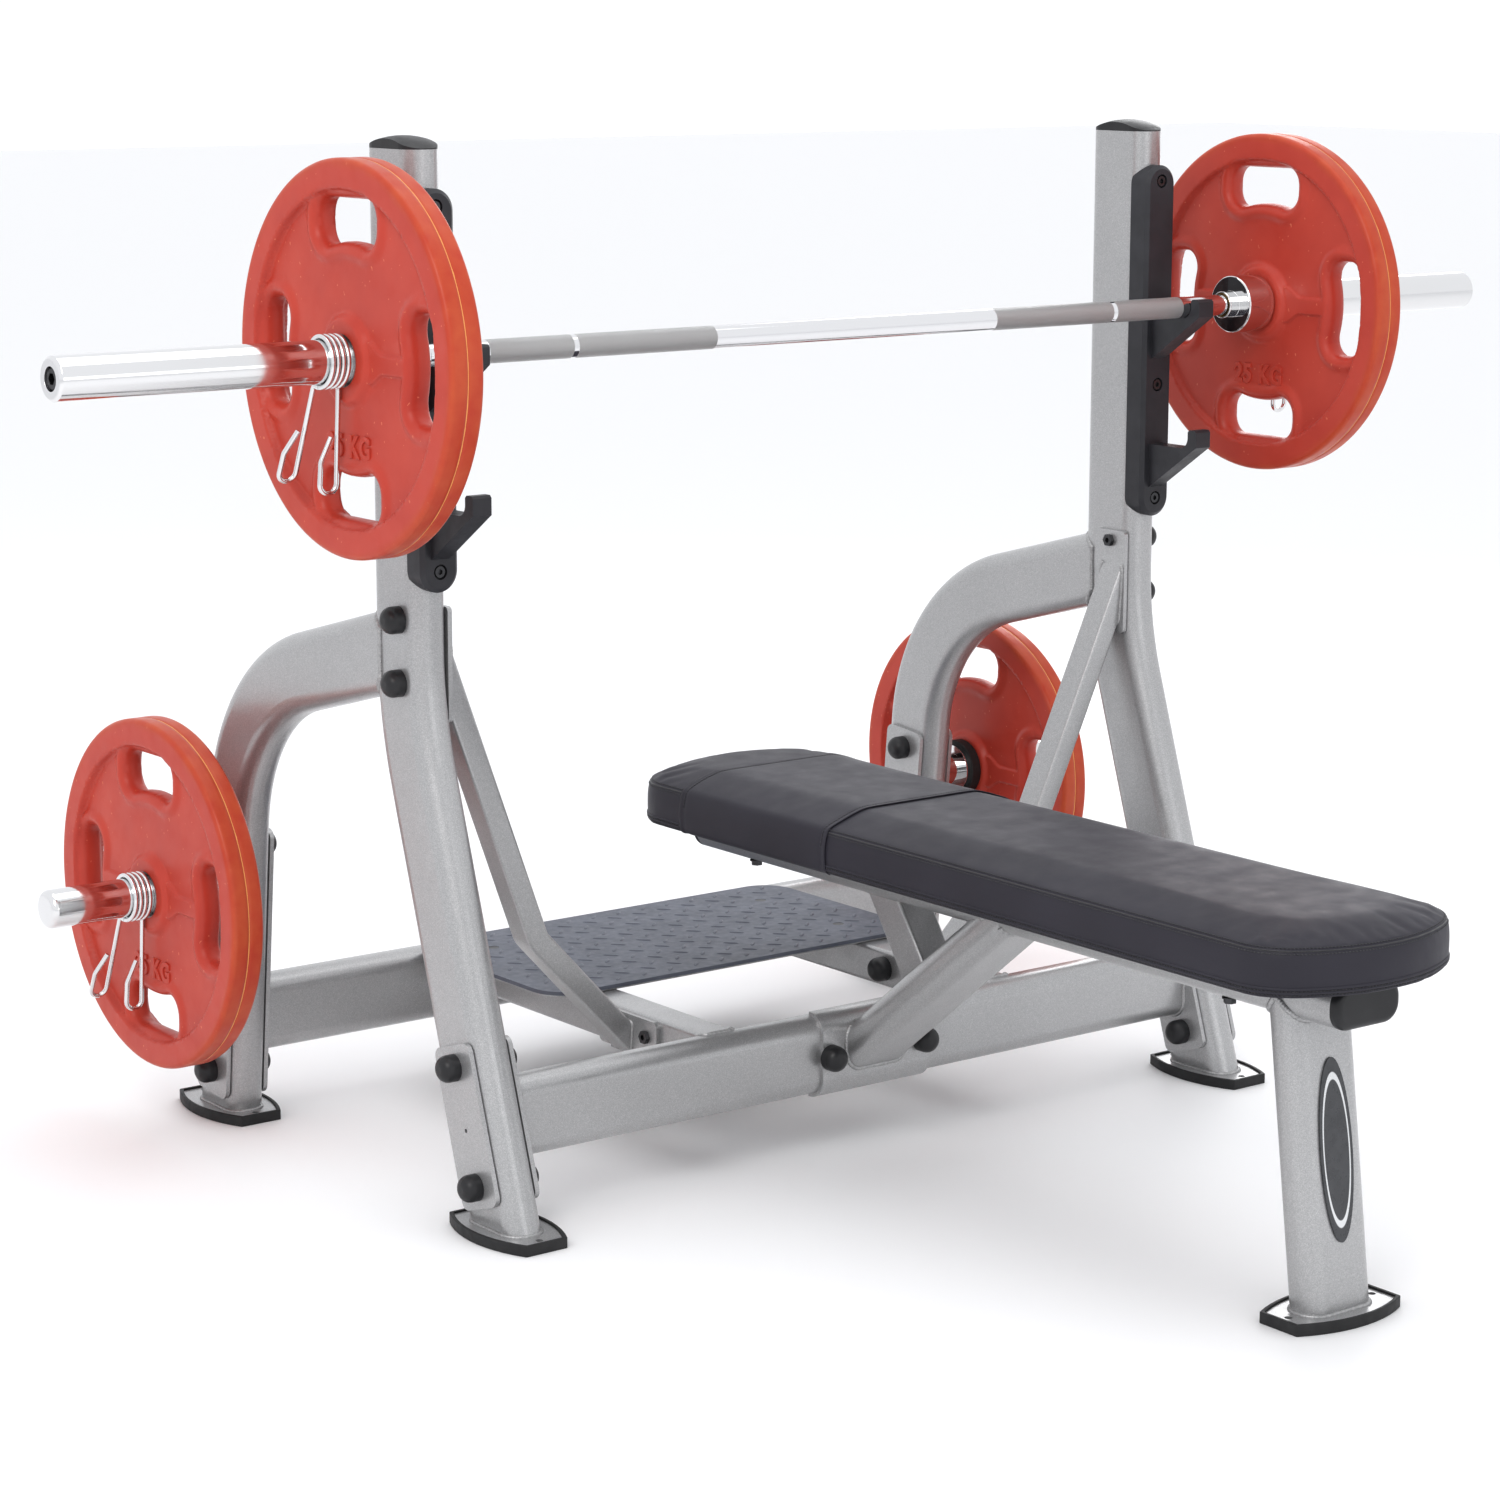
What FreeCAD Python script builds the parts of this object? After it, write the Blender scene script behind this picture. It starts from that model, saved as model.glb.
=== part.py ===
import FreeCAD, Part
import math
import os

from FreeCAD import Vector

# Olympic bench press with its barbell, four 25 kg plates and spring collars.
# Frame: X runs along the barbell, -Y points to the foot end of the bench, Z is up.
# The origin is on the floor, under the middle of the bounding box.  Millimetres.

# ---- driving dimensions -------------------------------------------------------------
BAR_Y = 71.0
BAR_Z = 1038.0
UPRIGHT_X = 573.0
UPRIGHT_Y = 198.0
UPRIGHT_TOP = 1266.0
UPRIGHT_BEND_Z = 600.0
UPRIGHT_LEAN = math.radians(18.0)
UPRIGHT_FOOT_Y = 3.0
CAP_CROWN = 15.0
CAP_DOME_RADIUS = 98.0

TUBE_HALF_WIDE = 50.0
TUBE_HALF_THIN = 25.0
TUBE_CORNER = 22.0
TUBE_WALL = 3.0

REAR_FOOT_Y = 654.0
REAR_LEAN = math.radians(5.4)
REAR_PLATE_Y = 658.0
REAR_ARCH_START = (248.0, 666.0)
REAR_ARCH_SLOPE = math.radians(15.0)
REAR_ARCH_RADIUS = 250.0

CROSSBAR_Z = 130.0
FRONT_CROSSBAR_Y = 45.3
REAR_CROSSBAR_Y = 641.7
PLATE_THICK = 6.0
PLATE_HALF_WIDE = 38.0

SPINE_Z = 365.0
SPINE_FRONT = -814.0
SPINE_REAR = 331.0
FRONT_LEG_FOOT_Y = -782.0
FRONT_LEG_LEAN = math.radians(7.5)
BADGE_Z = 188.0
BADGE_HALF_LONG = 104.0
BADGE_HALF_WIDE = 25.0
STRUT_SLOPE = math.radians(38.7)
STRUT_POINT = (-4.0, 156.0)
POST_SLOPE = math.radians(34.8)
POST_TOP_Y = -22.6

RAIL_X = 226.0
RAIL_HALF = 25.0
DECK_FRONT = 297.0
DECK_REAR = 627.0
DECK_HALF_WIDE = 302.0
DECK_THICK = 3.0
MAT_MARGIN = 3.0
MAT_THICK = 5.0
MAT_SCREWS_Y = (376.0, 551.0)

PAD_BOTTOM = 390.0
PAD_TOP = 458.0
PAD_HALF_WIDE = 150.0
PAD_FOOT_END = -850.0
PAD_HEAD_END = 381.0
PAD_END_RADIUS = 220.0
PAD_CORNER = 70.0
BOARD_THICK = 15.0
BOARD_INSET = 10.0

FOOT_Z = 5.0
FOOT_TOP = 11.0
BOOT_TOP = 13.5
ANCHOR_OFFSET = 66.0
ANCHOR_RADIUS = 4.5

STRIP_FRONT = 130.0
STRIP_BACK = 162.0
STRIP_BOTTOM = 752.0
STRIP_TOP = 1222.0
STRIP_SCREWS_Z = (777.0, 930.0, 1201.0)
LOWER_HOOK_DROP = 173.0
HOOK_HALF_WIDE = 13.0
HOOK_GAP = 0.3

SHAFT_RADIUS = 14.0
SLEEVE_RADIUS = 25.0
SLEEVE_BORE = 16.05
SLEEVE_END = 1100.0
COLLAR_FACE_X = 647.0
COLLAR_RADIUS = 38.0
BOSS_END_X = 630.0
PLATE_INNER_X = 695.0

DISC_RADIUS = 225.0
DISC_HALF_THICK = 22.0
DISC_WEB_HALF = 13.0
LIP_WIDE = 16.0
LIP_RISE = 4.0
GRIP_HALF_WIDE = 62.0
GRIP_OUTER = 180.0
GRIP_INNER = 132.0
GRIP_CORNER = 22.0
GRIP_LAND = 4.0
GRIP_FLARE = 13.0
DISC_BORE = 25.3
RING_OUTER = 30.0
STORED_DISC_INNER_X = 663.0
PEG_Z = 315.0
PEG_RADIUS = 24.7
PEG_END = 848.0

WIRE_RADIUS = 3.0
COIL_RADIUS = 28.6
COIL_PITCH = 6.7
COIL_TURNS = 4
FIXED_GRIP_ANGLE = 4.0
MOVING_GRIP_ANGLE = 22.0

BOLT_RADIUS = 5.0
HOLE_RADIUS = 5.2
CAP_RADIUS = 16.5
CAP_HEIGHT = 22.0

X_AXIS = Vector(1, 0, 0)
Y_AXIS = Vector(0, 1, 0)
Z_AXIS = Vector(0, 0, 1)
OUTER_FACE = UPRIGHT_X + TUBE_HALF_THIN
INNER_FACE = UPRIGHT_X - TUBE_HALF_THIN
PEG_Y = REAR_FOOT_Y - PEG_Z * math.tan(REAR_LEAN) + 0.8


# ---- helpers ------------------------------------------------------------------------
def placed(shape, center, u, v):
    """Move a shape drawn in local XY so that its local X and Y lie along u and v."""
    n = u.cross(v)
    matrix = FreeCAD.Matrix(u.x, v.x, n.x, center.x,
                            u.y, v.y, n.y, center.y,
                            u.z, v.z, n.z, center.z,
                            0, 0, 0, 1)
    moved = shape.copy()
    moved.Placement = FreeCAD.Placement(matrix)
    return moved


def rounded_rectangle(half_x, half_y, radius):
    """Closed wire in local XY, centred on the origin."""
    cx = half_x - radius
    cy = half_y - radius
    corners = [(cx, -cy, 270), (cx, cy, 0), (-cx, cy, 90), (-cx, -cy, 180)]
    arcs = [Part.makeCircle(radius, Vector(x, y, 0), Z_AXIS, start, start + 90)
            for x, y, start in corners]
    edges = []
    for arc, following in zip(arcs, arcs[1:] + arcs[:1]):
        edges.append(arc)
        start = arc.Vertexes[-1].Point
        end = following.Vertexes[0].Point
        if start.distanceToPoint(end) > 1e-6:
            edges.append(Part.makeLine(start, end))
    return Part.Wire(edges)


def barrel_outline(half_length, half_end, half_belly):
    """Foot outline along local Y: straight short ends and long sides that bow out."""
    front_left = Vector(-half_end, -half_length, 0)
    front_right = Vector(half_end, -half_length, 0)
    back_right = Vector(half_end, half_length, 0)
    back_left = Vector(-half_end, half_length, 0)
    edges = [Part.makeLine(front_left, front_right),
             Part.Arc(front_right, Vector(half_belly, 0, 0), back_right).toShape(),
             Part.makeLine(back_right, back_left),
             Part.Arc(back_left, Vector(-half_belly, 0, 0), front_left).toShape()]
    return Part.Wire(edges)


def prism(wire, vector):
    return Part.Face(wire).extrude(vector)


def bent_path(points, radii):
    """Straight runs joined by tangent arcs, one radius for each inner point."""
    edges = []
    start = points[0]
    for before, corner, after, radius in zip(points, points[1:], points[2:], radii):
        back = (before - corner).normalize()
        ahead = (after - corner).normalize()
        half_angle = back.getAngle(ahead) / 2
        arc_start = corner + back * (radius / math.tan(half_angle))
        arc_end = corner + ahead * (radius / math.tan(half_angle))
        inward = (back + ahead).normalize()
        arc_middle = corner + inward * (radius / math.sin(half_angle) - radius)
        edges.append(Part.makeLine(start, arc_start))
        edges.append(Part.Arc(arc_start, arc_middle, arc_end).toShape())
        start = arc_end
    edges.append(Part.makeLine(start, points[-1]))
    return Part.Wire(edges)


def tube(points, radii, u, half_u, half_v, corner, wall):
    """Hollow tube and its solid envelope; u is the section's first direction."""
    path = bent_path(points, radii)
    along = (points[1] - points[0]).normalize()
    v = along.cross(u)
    outer_wire = placed(rounded_rectangle(half_u, half_v, corner), points[0], u, v)
    inner_wire = placed(rounded_rectangle(half_u - wall, half_v - wall, corner - wall),
                        points[0], u, v)
    envelope = path.makePipeShell([outer_wire], True, False)
    core = path.makePipeShell([inner_wire], True, False)
    return envelope.cut(core), envelope


def rod(axis, start, radius, length):
    return Part.makeCylinder(radius, length, start, axis)


def ring(axis, start, inner, outer, length):
    return rod(axis, start, outer, length).cut(rod(axis, start, inner, length))


def block(x0, x1, y0, y1, z0, z1):
    return Part.makeBox(x1 - x0, y1 - y0, z1 - z0, Vector(x0, y0, z0))


def mirrored(shape):
    return shape.mirror(Vector(0, 0, 0), X_AXIS)


def both_sides(shapes):
    return shapes + [mirrored(shape) for shape in shapes]


def fused(shapes):
    whole = shapes[0]
    for shape in shapes[1:]:
        whole = whole.fuse(shape)
    return whole.removeSplitter()


def cut_all(shape, tools):
    for tool in tools:
        shape = shape.cut(tool)
    return shape


def revolved_x(profile, x_sign=1):
    """Solid of revolution about the X axis from (x, r) points."""
    points = [Vector(x * x_sign, 0, r) for x, r in profile]
    face = Part.Face(Part.makePolygon(points + points[:1]))
    return face.revolve(Vector(0, 0, 0), X_AXIS, 360)


def write(name, shape):
    """Write one node; a list becomes a group of separate solids."""
    if isinstance(shape, list):
        solids = []
        for item in shape:
            solids.extend(item.Solids)
        shape = Part.makeCompound(solids)
    shape.exportStep("parts/%s.step" % name)


# ---- shared positions ---------------------------------------------------------------
def upright_axis_y(z):
    return UPRIGHT_Y - (UPRIGHT_BEND_Z - z) * math.tan(UPRIGHT_LEAN)


def rear_axis_y(z):
    return REAR_FOOT_Y - z * math.tan(REAR_LEAN)


def front_leg_axis_y(z):
    return FRONT_LEG_FOOT_Y + z * math.tan(FRONT_LEG_LEAN)


FRONT_BOLTS = [(upright_axis_y(z), z) for z in (60.0, 196.0)]
REAR_BOLTS = [(rear_axis_y(z), z) for z in (62.0, 360.0)]
BRACKET_Y = 184.0
BRACKET_BOLT_Z = 716.0
BRACE_BOLT_Z = 640.0
RAIL_BOLTS = [(160.0, 155.0), (246.0, 155.0)]
SADDLE_BOLT_X = 75.0
BRACKET_FACE = INNER_FACE - PLATE_THICK
RAIL_OUTER = RAIL_X + RAIL_HALF
RAIL_INNER = RAIL_X - RAIL_HALF
SADDLE_THICK = 5.0
SADDLE_FRONT = FRONT_CROSSBAR_Y - TUBE_HALF_THIN - SADDLE_THICK
CROSSBAR_BACK = FRONT_CROSSBAR_Y + TUBE_HALF_THIN
PAD_BOLT_POINTS = [(x, y) for x in (-28.0, 28.0) for y in (-640.0, 230.0)]


def side_hole(y, z, x_from, x_to, radius=HOLE_RADIUS):
    return rod(X_AXIS, Vector(x_from, y, z), radius, x_to - x_from)


def anchored_foot(center, long_axis, short_axis):
    """Steel foot plate with two anchor holes."""
    outline = placed(barrel_outline(78.0, 25.0, 45.0), center, short_axis, long_axis)
    plate = prism(outline, Z_AXIS * (FOOT_TOP - FOOT_Z))
    holes = [rod(Z_AXIS, center + long_axis * (side * ANCHOR_OFFSET), ANCHOR_RADIUS, 20)
             for side in (-1, 1)]
    return cut_all(plate, holes)


def rubber_boot(x, y, long_axis, short_axis):
    """Shallow rubber tray that the foot plate sits in."""
    base = Vector(x, y, 0)
    outer = prism(placed(barrel_outline(82.0, 29.0, 49.0), base, short_axis, long_axis),
                  Z_AXIS * BOOT_TOP)
    seat = prism(placed(barrel_outline(78.0, 25.0, 45.0), base + Z_AXIS * FOOT_Z,
                        short_axis, long_axis), Z_AXIS * BOOT_TOP)
    holes = [rod(Z_AXIS, base + long_axis * (side * ANCHOR_OFFSET), ANCHOR_RADIUS, 20)
             for side in (-1, 1)]
    return cut_all(outer, [seat] + holes)


# ---- side frames --------------------------------------------------------------------
def upright_tube():
    low_z = -20.0
    points = [Vector(UPRIGHT_X, UPRIGHT_Y, UPRIGHT_TOP),
              Vector(UPRIGHT_X, UPRIGHT_Y, UPRIGHT_BEND_Z),
              Vector(UPRIGHT_X, upright_axis_y(low_z), low_z)]
    return tube(points, [500.0], X_AXIS, TUBE_HALF_THIN, TUBE_HALF_WIDE,
                TUBE_CORNER, TUBE_WALL)


def upright():
    shell, _ = upright_tube()
    foot = anchored_foot(Vector(UPRIGHT_X, UPRIGHT_FOOT_Y, FOOT_Z), Y_AXIS, X_AXIS * -1)
    below = block(400, 700, -300, 400, -100, FOOT_TOP)
    holes = [side_hole(y, z, INNER_FACE - 5, OUTER_FACE + 5) for y, z in FRONT_BOLTS]
    for z in (BRACKET_BOLT_Z, BRACE_BOLT_Z):
        holes.append(side_hole(BRACKET_Y, z, INNER_FACE - 5, OUTER_FACE + 5))
    for z in STRIP_SCREWS_Z:
        holes.append(rod(Y_AXIS, Vector(UPRIGHT_X, UPRIGHT_Y - 60, z), 4.3, 120))
    return cut_all(fused([shell.cut(below), foot]), holes)


def upright_cap():
    """Plastic plug in the upright's open top, its head a shallow dome."""
    head = prism(placed(rounded_rectangle(TUBE_HALF_THIN, TUBE_HALF_WIDE, TUBE_CORNER),
                        Vector(UPRIGHT_X, UPRIGHT_Y, UPRIGHT_TOP), X_AXIS, Y_AXIS),
                 Z_AXIS * CAP_CROWN)
    dome_center = Vector(UPRIGHT_X, UPRIGHT_Y, UPRIGHT_TOP + CAP_CROWN - CAP_DOME_RADIUS)
    head = head.common(Part.makeSphere(CAP_DOME_RADIUS, dome_center))
    inset = TUBE_WALL + 0.2
    plug = prism(placed(rounded_rectangle(TUBE_HALF_THIN - inset, TUBE_HALF_WIDE - inset,
                                          TUBE_CORNER - inset),
                        Vector(UPRIGHT_X, UPRIGHT_Y, UPRIGHT_TOP - 18), X_AXIS, Y_AXIS),
                 Z_AXIS * 18)
    return fused([head, plug])


def rear_leg_tube():
    """Arched leg: leaves the upright on a slope and turns down to its own foot."""
    start_y, start_z = REAR_ARCH_START
    slope = math.tan(REAR_ARCH_SLOPE)
    lean = math.tan(REAR_LEAN)
    corner_z = (start_z - slope * (REAR_FOOT_Y - start_y)) / (1 - slope * lean)
    corner_y = rear_axis_y(corner_z)
    back = 60.0
    low_z = -20.0
    points = [Vector(UPRIGHT_X, start_y - back, start_z + back * slope),
              Vector(UPRIGHT_X, corner_y, corner_z),
              Vector(UPRIGHT_X, rear_axis_y(low_z), low_z)]
    return tube(points, [REAR_ARCH_RADIUS], X_AXIS, TUBE_HALF_THIN, TUBE_HALF_WIDE,
                TUBE_CORNER, TUBE_WALL)


def rear_leg():
    shell, _ = rear_leg_tube()
    _, upright_envelope = upright_tube()
    foot = anchored_foot(Vector(UPRIGHT_X, REAR_PLATE_Y, FOOT_Z), Y_AXIS, X_AXIS * -1)
    below = block(400, 700, 400, 900, -100, FOOT_TOP)
    in_front = block(400, 700, 0, UPRIGHT_Y, 0, 1300)
    holes = [side_hole(y, z, INNER_FACE - 5, OUTER_FACE + 5) for y, z in REAR_BOLTS]
    shell = cut_all(shell, [upright_envelope, in_front, below])
    return cut_all(fused([shell, foot]), holes)


def flange(x, center, up, half_length, bolts):
    """Rounded steel plate against a side face of a leg, with two bolt holes."""
    across = up.cross(X_AXIS)
    outline = placed(rounded_rectangle(PLATE_HALF_WIDE, half_length, 12.0),
                     Vector(x, center[0], center[1]), across, up)
    plate = prism(outline, X_AXIS * PLATE_THICK * (1 if across.cross(up).x > 0 else 1))
    return cut_all(plate, [side_hole(y, z, x - 10, x + 20) for y, z in bolts])


def front_flange(x):
    up = Vector(0, math.sin(UPRIGHT_LEAN), math.cos(UPRIGHT_LEAN))
    return flange(x, (upright_axis_y(128.0), 128.0), up, 98.0, FRONT_BOLTS)


def rear_flange(x):
    up = Vector(0, -math.sin(REAR_LEAN), math.cos(REAR_LEAN))
    return flange(x, (rear_axis_y(209.0), 209.0), up, 180.0, REAR_BOLTS)


def crossbar_envelope(y, half_length):
    outline = placed(rounded_rectangle(TUBE_HALF_THIN, TUBE_HALF_WIDE, TUBE_CORNER),
                     Vector(-half_length, y, CROSSBAR_Z), Y_AXIS, Z_AXIS)
    return prism(outline, X_AXIS * (2 * half_length))


def crossbar_tube(y):
    half_length = BRACKET_FACE
    core = placed(rounded_rectangle(TUBE_HALF_THIN - TUBE_WALL, TUBE_HALF_WIDE - TUBE_WALL,
                                    TUBE_CORNER - TUBE_WALL),
                  Vector(-half_length, y, CROSSBAR_Z), Y_AXIS, Z_AXIS)
    bore = prism(core, X_AXIS * (2 * half_length))
    return crossbar_envelope(y, half_length).cut(bore)


def front_crossbar():
    """Oval tube between the upright feet, with a bolted flange at each end."""
    plates = both_sides([front_flange(BRACKET_FACE)])
    holes = [rod(Y_AXIS, Vector(x, FRONT_CROSSBAR_Y - 40, CROSSBAR_Z), HOLE_RADIUS, 80)
             for x in (-SADDLE_BOLT_X, SADDLE_BOLT_X)]
    return cut_all(fused([crossbar_tube(FRONT_CROSSBAR_Y)] + plates), holes)


def rear_crossbar():
    """Oval tube between the rear legs; its flanges run well up the legs."""
    plates = both_sides([rear_flange(BRACKET_FACE)])
    return fused([crossbar_tube(REAR_CROSSBAR_Y)] + plates)


def side_plate():
    """Outer clamp plate of the front crossbar's bolts, with a small gauge hole."""
    gauge = side_hole(upright_axis_y(124.0), 124.0, OUTER_FACE - 5, OUTER_FACE + 20, 2.5)
    return front_flange(OUTER_FACE).cut(gauge)


# ---- bracing and platform -----------------------------------------------------------
def brace():
    """Flat tube from the upright down and inward to the platform rail."""
    top = Vector(566.3, 177.5, 705.0)
    bend = Vector(402.0, 201.4, 297.0)
    low = Vector(237.0, 211.6, 126.0)
    normal = (bend - top).cross(low - bend).normalize()
    shell, _ = tube([top, bend, low], [32.0], normal, 20.0, 15.0, 4.0, 2.5)
    beyond_bracket = block(BRACKET_FACE, 700, 0, 400, 400, 900)
    beyond_rail = block(0, RAIL_OUTER + PLATE_THICK, 0, 400, 0, 400)
    shell = cut_all(shell, [beyond_bracket, beyond_rail])
    bracket = prism(placed(rounded_rectangle(29.0, 70.0, 6.0),
                           Vector(BRACKET_FACE, BRACKET_Y, 660.0), Y_AXIS, Z_AXIS),
                    X_AXIS * PLATE_THICK)
    foot_plate = prism(placed(rounded_rectangle(62.0, 24.0, 8.0),
                              Vector(RAIL_OUTER, 200.0, 153.0), Y_AXIS, Z_AXIS),
                       X_AXIS * PLATE_THICK)
    holes = [side_hole(BRACKET_Y, z, BRACKET_FACE - 5, INNER_FACE + 5)
             for z in (BRACKET_BOLT_Z, BRACE_BOLT_Z)]
    for y, z in RAIL_BOLTS:
        holes.append(side_hole(y, z, RAIL_INNER, RAIL_OUTER + 20))
    return cut_all(fused([shell, bracket, foot_plate]), holes)


def platform_rail():
    """Square tube from the front crossbar to the rear one, its ends coped to them."""
    top = CROSSBAR_Z + TUBE_HALF_WIDE
    outline = rounded_rectangle(RAIL_HALF, RAIL_HALF, 5.0)
    core = rounded_rectangle(RAIL_HALF - 2.5, RAIL_HALF - 2.5, 2.5)
    start = Vector(RAIL_X, FRONT_CROSSBAR_Y, top - RAIL_HALF)
    span = Y_AXIS * (REAR_CROSSBAR_Y - FRONT_CROSSBAR_Y)
    rail = prism(placed(outline, start, Z_AXIS, X_AXIS), span)
    rail = rail.cut(prism(placed(core, start, Z_AXIS, X_AXIS), span))
    tools = [crossbar_envelope(FRONT_CROSSBAR_Y, BRACKET_FACE),
             crossbar_envelope(REAR_CROSSBAR_Y, BRACKET_FACE)]
    for y, z in RAIL_BOLTS:
        tools.append(side_hole(y, z, RAIL_INNER - 5, RAIL_OUTER + 5))
    for y in MAT_SCREWS_Y:
        tools.append(rod(Z_AXIS, Vector(RAIL_X, y, top - 10), 3.1, 20))
    return cut_all(rail, tools)


def deck_outline(margin, z):
    half_y = (DECK_REAR - DECK_FRONT) / 2 + margin
    center = Vector(0, (DECK_REAR + DECK_FRONT) / 2, z)
    return placed(rounded_rectangle(DECK_HALF_WIDE + margin, half_y, 45.0),
                  center, X_AXIS, Y_AXIS)


def mat_screw_points():
    return [(x, y) for x in (-RAIL_X, RAIL_X) for y in MAT_SCREWS_Y]


def platform_deck():
    """Steel sheet under the tread mat."""
    bottom = CROSSBAR_Z + TUBE_HALF_WIDE
    sheet = prism(deck_outline(0, bottom), Z_AXIS * DECK_THICK)
    return cut_all(sheet, [rod(Z_AXIS, Vector(x, y, bottom - 5), 3.1, 20)
                           for x, y in mat_screw_points()])


def tread_mat():
    bottom = CROSSBAR_Z + TUBE_HALF_WIDE + DECK_THICK
    mat = prism(deck_outline(MAT_MARGIN, bottom), Z_AXIS * MAT_THICK)
    tools = []
    for x, y in mat_screw_points():
        tools.append(rod(Z_AXIS, Vector(x, y, bottom - 5), 3.1, 20))
        tools.append(rod(Z_AXIS, Vector(x, y, bottom + 2.5), 7.6, 20))
    return cut_all(mat, tools)


def platform_screws():
    head_z = CROSSBAR_Z + TUBE_HALF_WIDE + DECK_THICK + 2.5
    screws = []
    for x, y in mat_screw_points():
        shank = rod(Z_AXIS, Vector(x, y, head_z - 16), 3.0, 16)
        head = rod(Z_AXIS, Vector(x, y, head_z), 7.5, 2.2)
        screws.append(fused([shank, head]))
    return screws


# ---- bench --------------------------------------------------------------------------
def spine_envelope():
    outline = placed(rounded_rectangle(TUBE_HALF_WIDE, TUBE_HALF_THIN, TUBE_CORNER),
                     Vector(0, SPINE_FRONT, SPINE_Z), X_AXIS * -1, Z_AXIS)
    return prism(outline, Y_AXIS * (SPINE_REAR - SPINE_FRONT))


def spine_tube():
    core = placed(rounded_rectangle(TUBE_HALF_WIDE - TUBE_WALL, TUBE_HALF_THIN - TUBE_WALL,
                                    TUBE_CORNER - TUBE_WALL),
                  Vector(0, SPINE_FRONT, SPINE_Z), X_AXIS * -1, Z_AXIS)
    bore = prism(core, Y_AXIS * (SPINE_REAR - SPINE_FRONT))
    holes = [rod(Z_AXIS, Vector(x, y, SPINE_Z - 40), 4.2, 80) for x, y in PAD_BOLT_POINTS]
    return cut_all(spine_envelope(), [bore] + holes)


def spine_cap(y, direction):
    head = prism(placed(rounded_rectangle(TUBE_HALF_WIDE, TUBE_HALF_THIN, TUBE_CORNER),
                        Vector(0, y, SPINE_Z), X_AXIS, Z_AXIS), Y_AXIS * (12 * direction))
    far = y + 12 * direction
    rim = [edge for edge in head.Edges
           if max(abs(v.Y - far) for v in edge.Vertexes) < 0.01]
    head = head.makeFillet(8.0, rim)
    inset = TUBE_WALL + 0.2
    plug = prism(placed(rounded_rectangle(TUBE_HALF_WIDE - inset, TUBE_HALF_THIN - inset,
                                          TUBE_CORNER - inset),
                        Vector(0, y, SPINE_Z), X_AXIS, Z_AXIS), Y_AXIS * (-15 * direction))
    return fused([head, plug])


def front_leg():
    """Leaning oval leg under the foot end of the spine, with its foot plate."""
    top_z = SPINE_Z
    low_z = -20.0
    points = [Vector(0, front_leg_axis_y(top_z), top_z),
              Vector(0, front_leg_axis_y(low_z), low_z)]
    shell, _ = tube(points, [], X_AXIS, TUBE_HALF_WIDE, TUBE_HALF_THIN,
                    TUBE_CORNER, TUBE_WALL)
    below = block(-200, 200, -1000, -500, -100, FOOT_TOP)
    foot = anchored_foot(Vector(0, FRONT_LEG_FOOT_Y, FOOT_Z), X_AXIS, Y_AXIS)
    return fused([cut_all(shell, [spine_envelope(), below]), foot])


def saddle_block(x_half, grow):
    outline = placed(rounded_rectangle(TUBE_HALF_THIN + grow, TUBE_HALF_WIDE + grow,
                                       TUBE_CORNER + grow),
                     Vector(-x_half, FRONT_CROSSBAR_Y, CROSSBAR_Z), Y_AXIS, Z_AXIS)
    return prism(outline, X_AXIS * (2 * x_half))


def strut_tube():
    away = 50.0
    reach = 345.0
    direction = Vector(0, -math.cos(STRUT_SLOPE), math.sin(STRUT_SLOPE))
    anchor = Vector(0, STRUT_POINT[0], STRUT_POINT[1])
    points = [anchor - direction * away, anchor + direction * reach]
    return tube(points, [], X_AXIS, TUBE_HALF_WIDE, TUBE_HALF_THIN, TUBE_CORNER, TUBE_WALL)


def bench_strut():
    """Oval strut from the front crossbar up to the spine, on a wrap-round saddle."""
    shell, _ = strut_tube()
    shell = cut_all(shell, [saddle_block(200, SADDLE_THICK),
                            block(-200, 200, FRONT_CROSSBAR_Y, 300, 0, 400),
                            spine_envelope(),
                            block(-200, 200, -600, 300, SPINE_Z, 600)])
    wrap = saddle_block(87.0, SADDLE_THICK).cut(saddle_block(100.0, 0))
    wrap = wrap.cut(block(-200, 200, FRONT_CROSSBAR_Y, 300, 0, 400))
    holes = [rod(Y_AXIS, Vector(x, FRONT_CROSSBAR_Y - 60, CROSSBAR_Z), HOLE_RADIUS, 60)
             for x in (-SADDLE_BOLT_X, SADDLE_BOLT_X)]
    return cut_all(fused([shell, wrap]), holes)


def bench_post():
    """Square post from the strut's back up to the spine."""
    _, strut_envelope = strut_tube()
    direction = Vector(0, math.sin(POST_SLOPE), math.cos(POST_SLOPE))
    top = Vector(0, POST_TOP_Y, SPINE_Z - TUBE_HALF_THIN)
    points = [top + direction * 30, top - direction * 140]
    shell, _ = tube(points, [], X_AXIS, 25.0, 25.0, 4.0, TUBE_WALL)
    far_side = block(-200, 200, -600, 300, SPINE_Z, 600)
    shell = cut_all(shell, [strut_envelope, spine_envelope(), far_side])
    return max(shell.Solids, key=lambda solid: solid.BoundBox.ZMax)


def pad_outline(inset, z):
    """Bench pad outline: straight sides and bowed ends joined by round corners."""
    half = PAD_HALF_WIDE - inset
    foot = PAD_FOOT_END + inset
    head = PAD_HEAD_END - inset
    sag = PAD_END_RADIUS - math.sqrt(PAD_END_RADIUS ** 2 - half ** 2)
    points = [Vector(-half, foot + sag, z), Vector(0, foot, z), Vector(half, foot + sag, z),
              Vector(half, head - sag, z), Vector(0, head, z), Vector(-half, head - sag, z)]
    edges = [Part.Arc(points[0], points[1], points[2]).toShape(),
             Part.makeLine(points[2], points[3]),
             Part.Arc(points[3], points[4], points[5]).toShape(),
             Part.makeLine(points[5], points[0])]
    return Part.Wire(edges)


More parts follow.
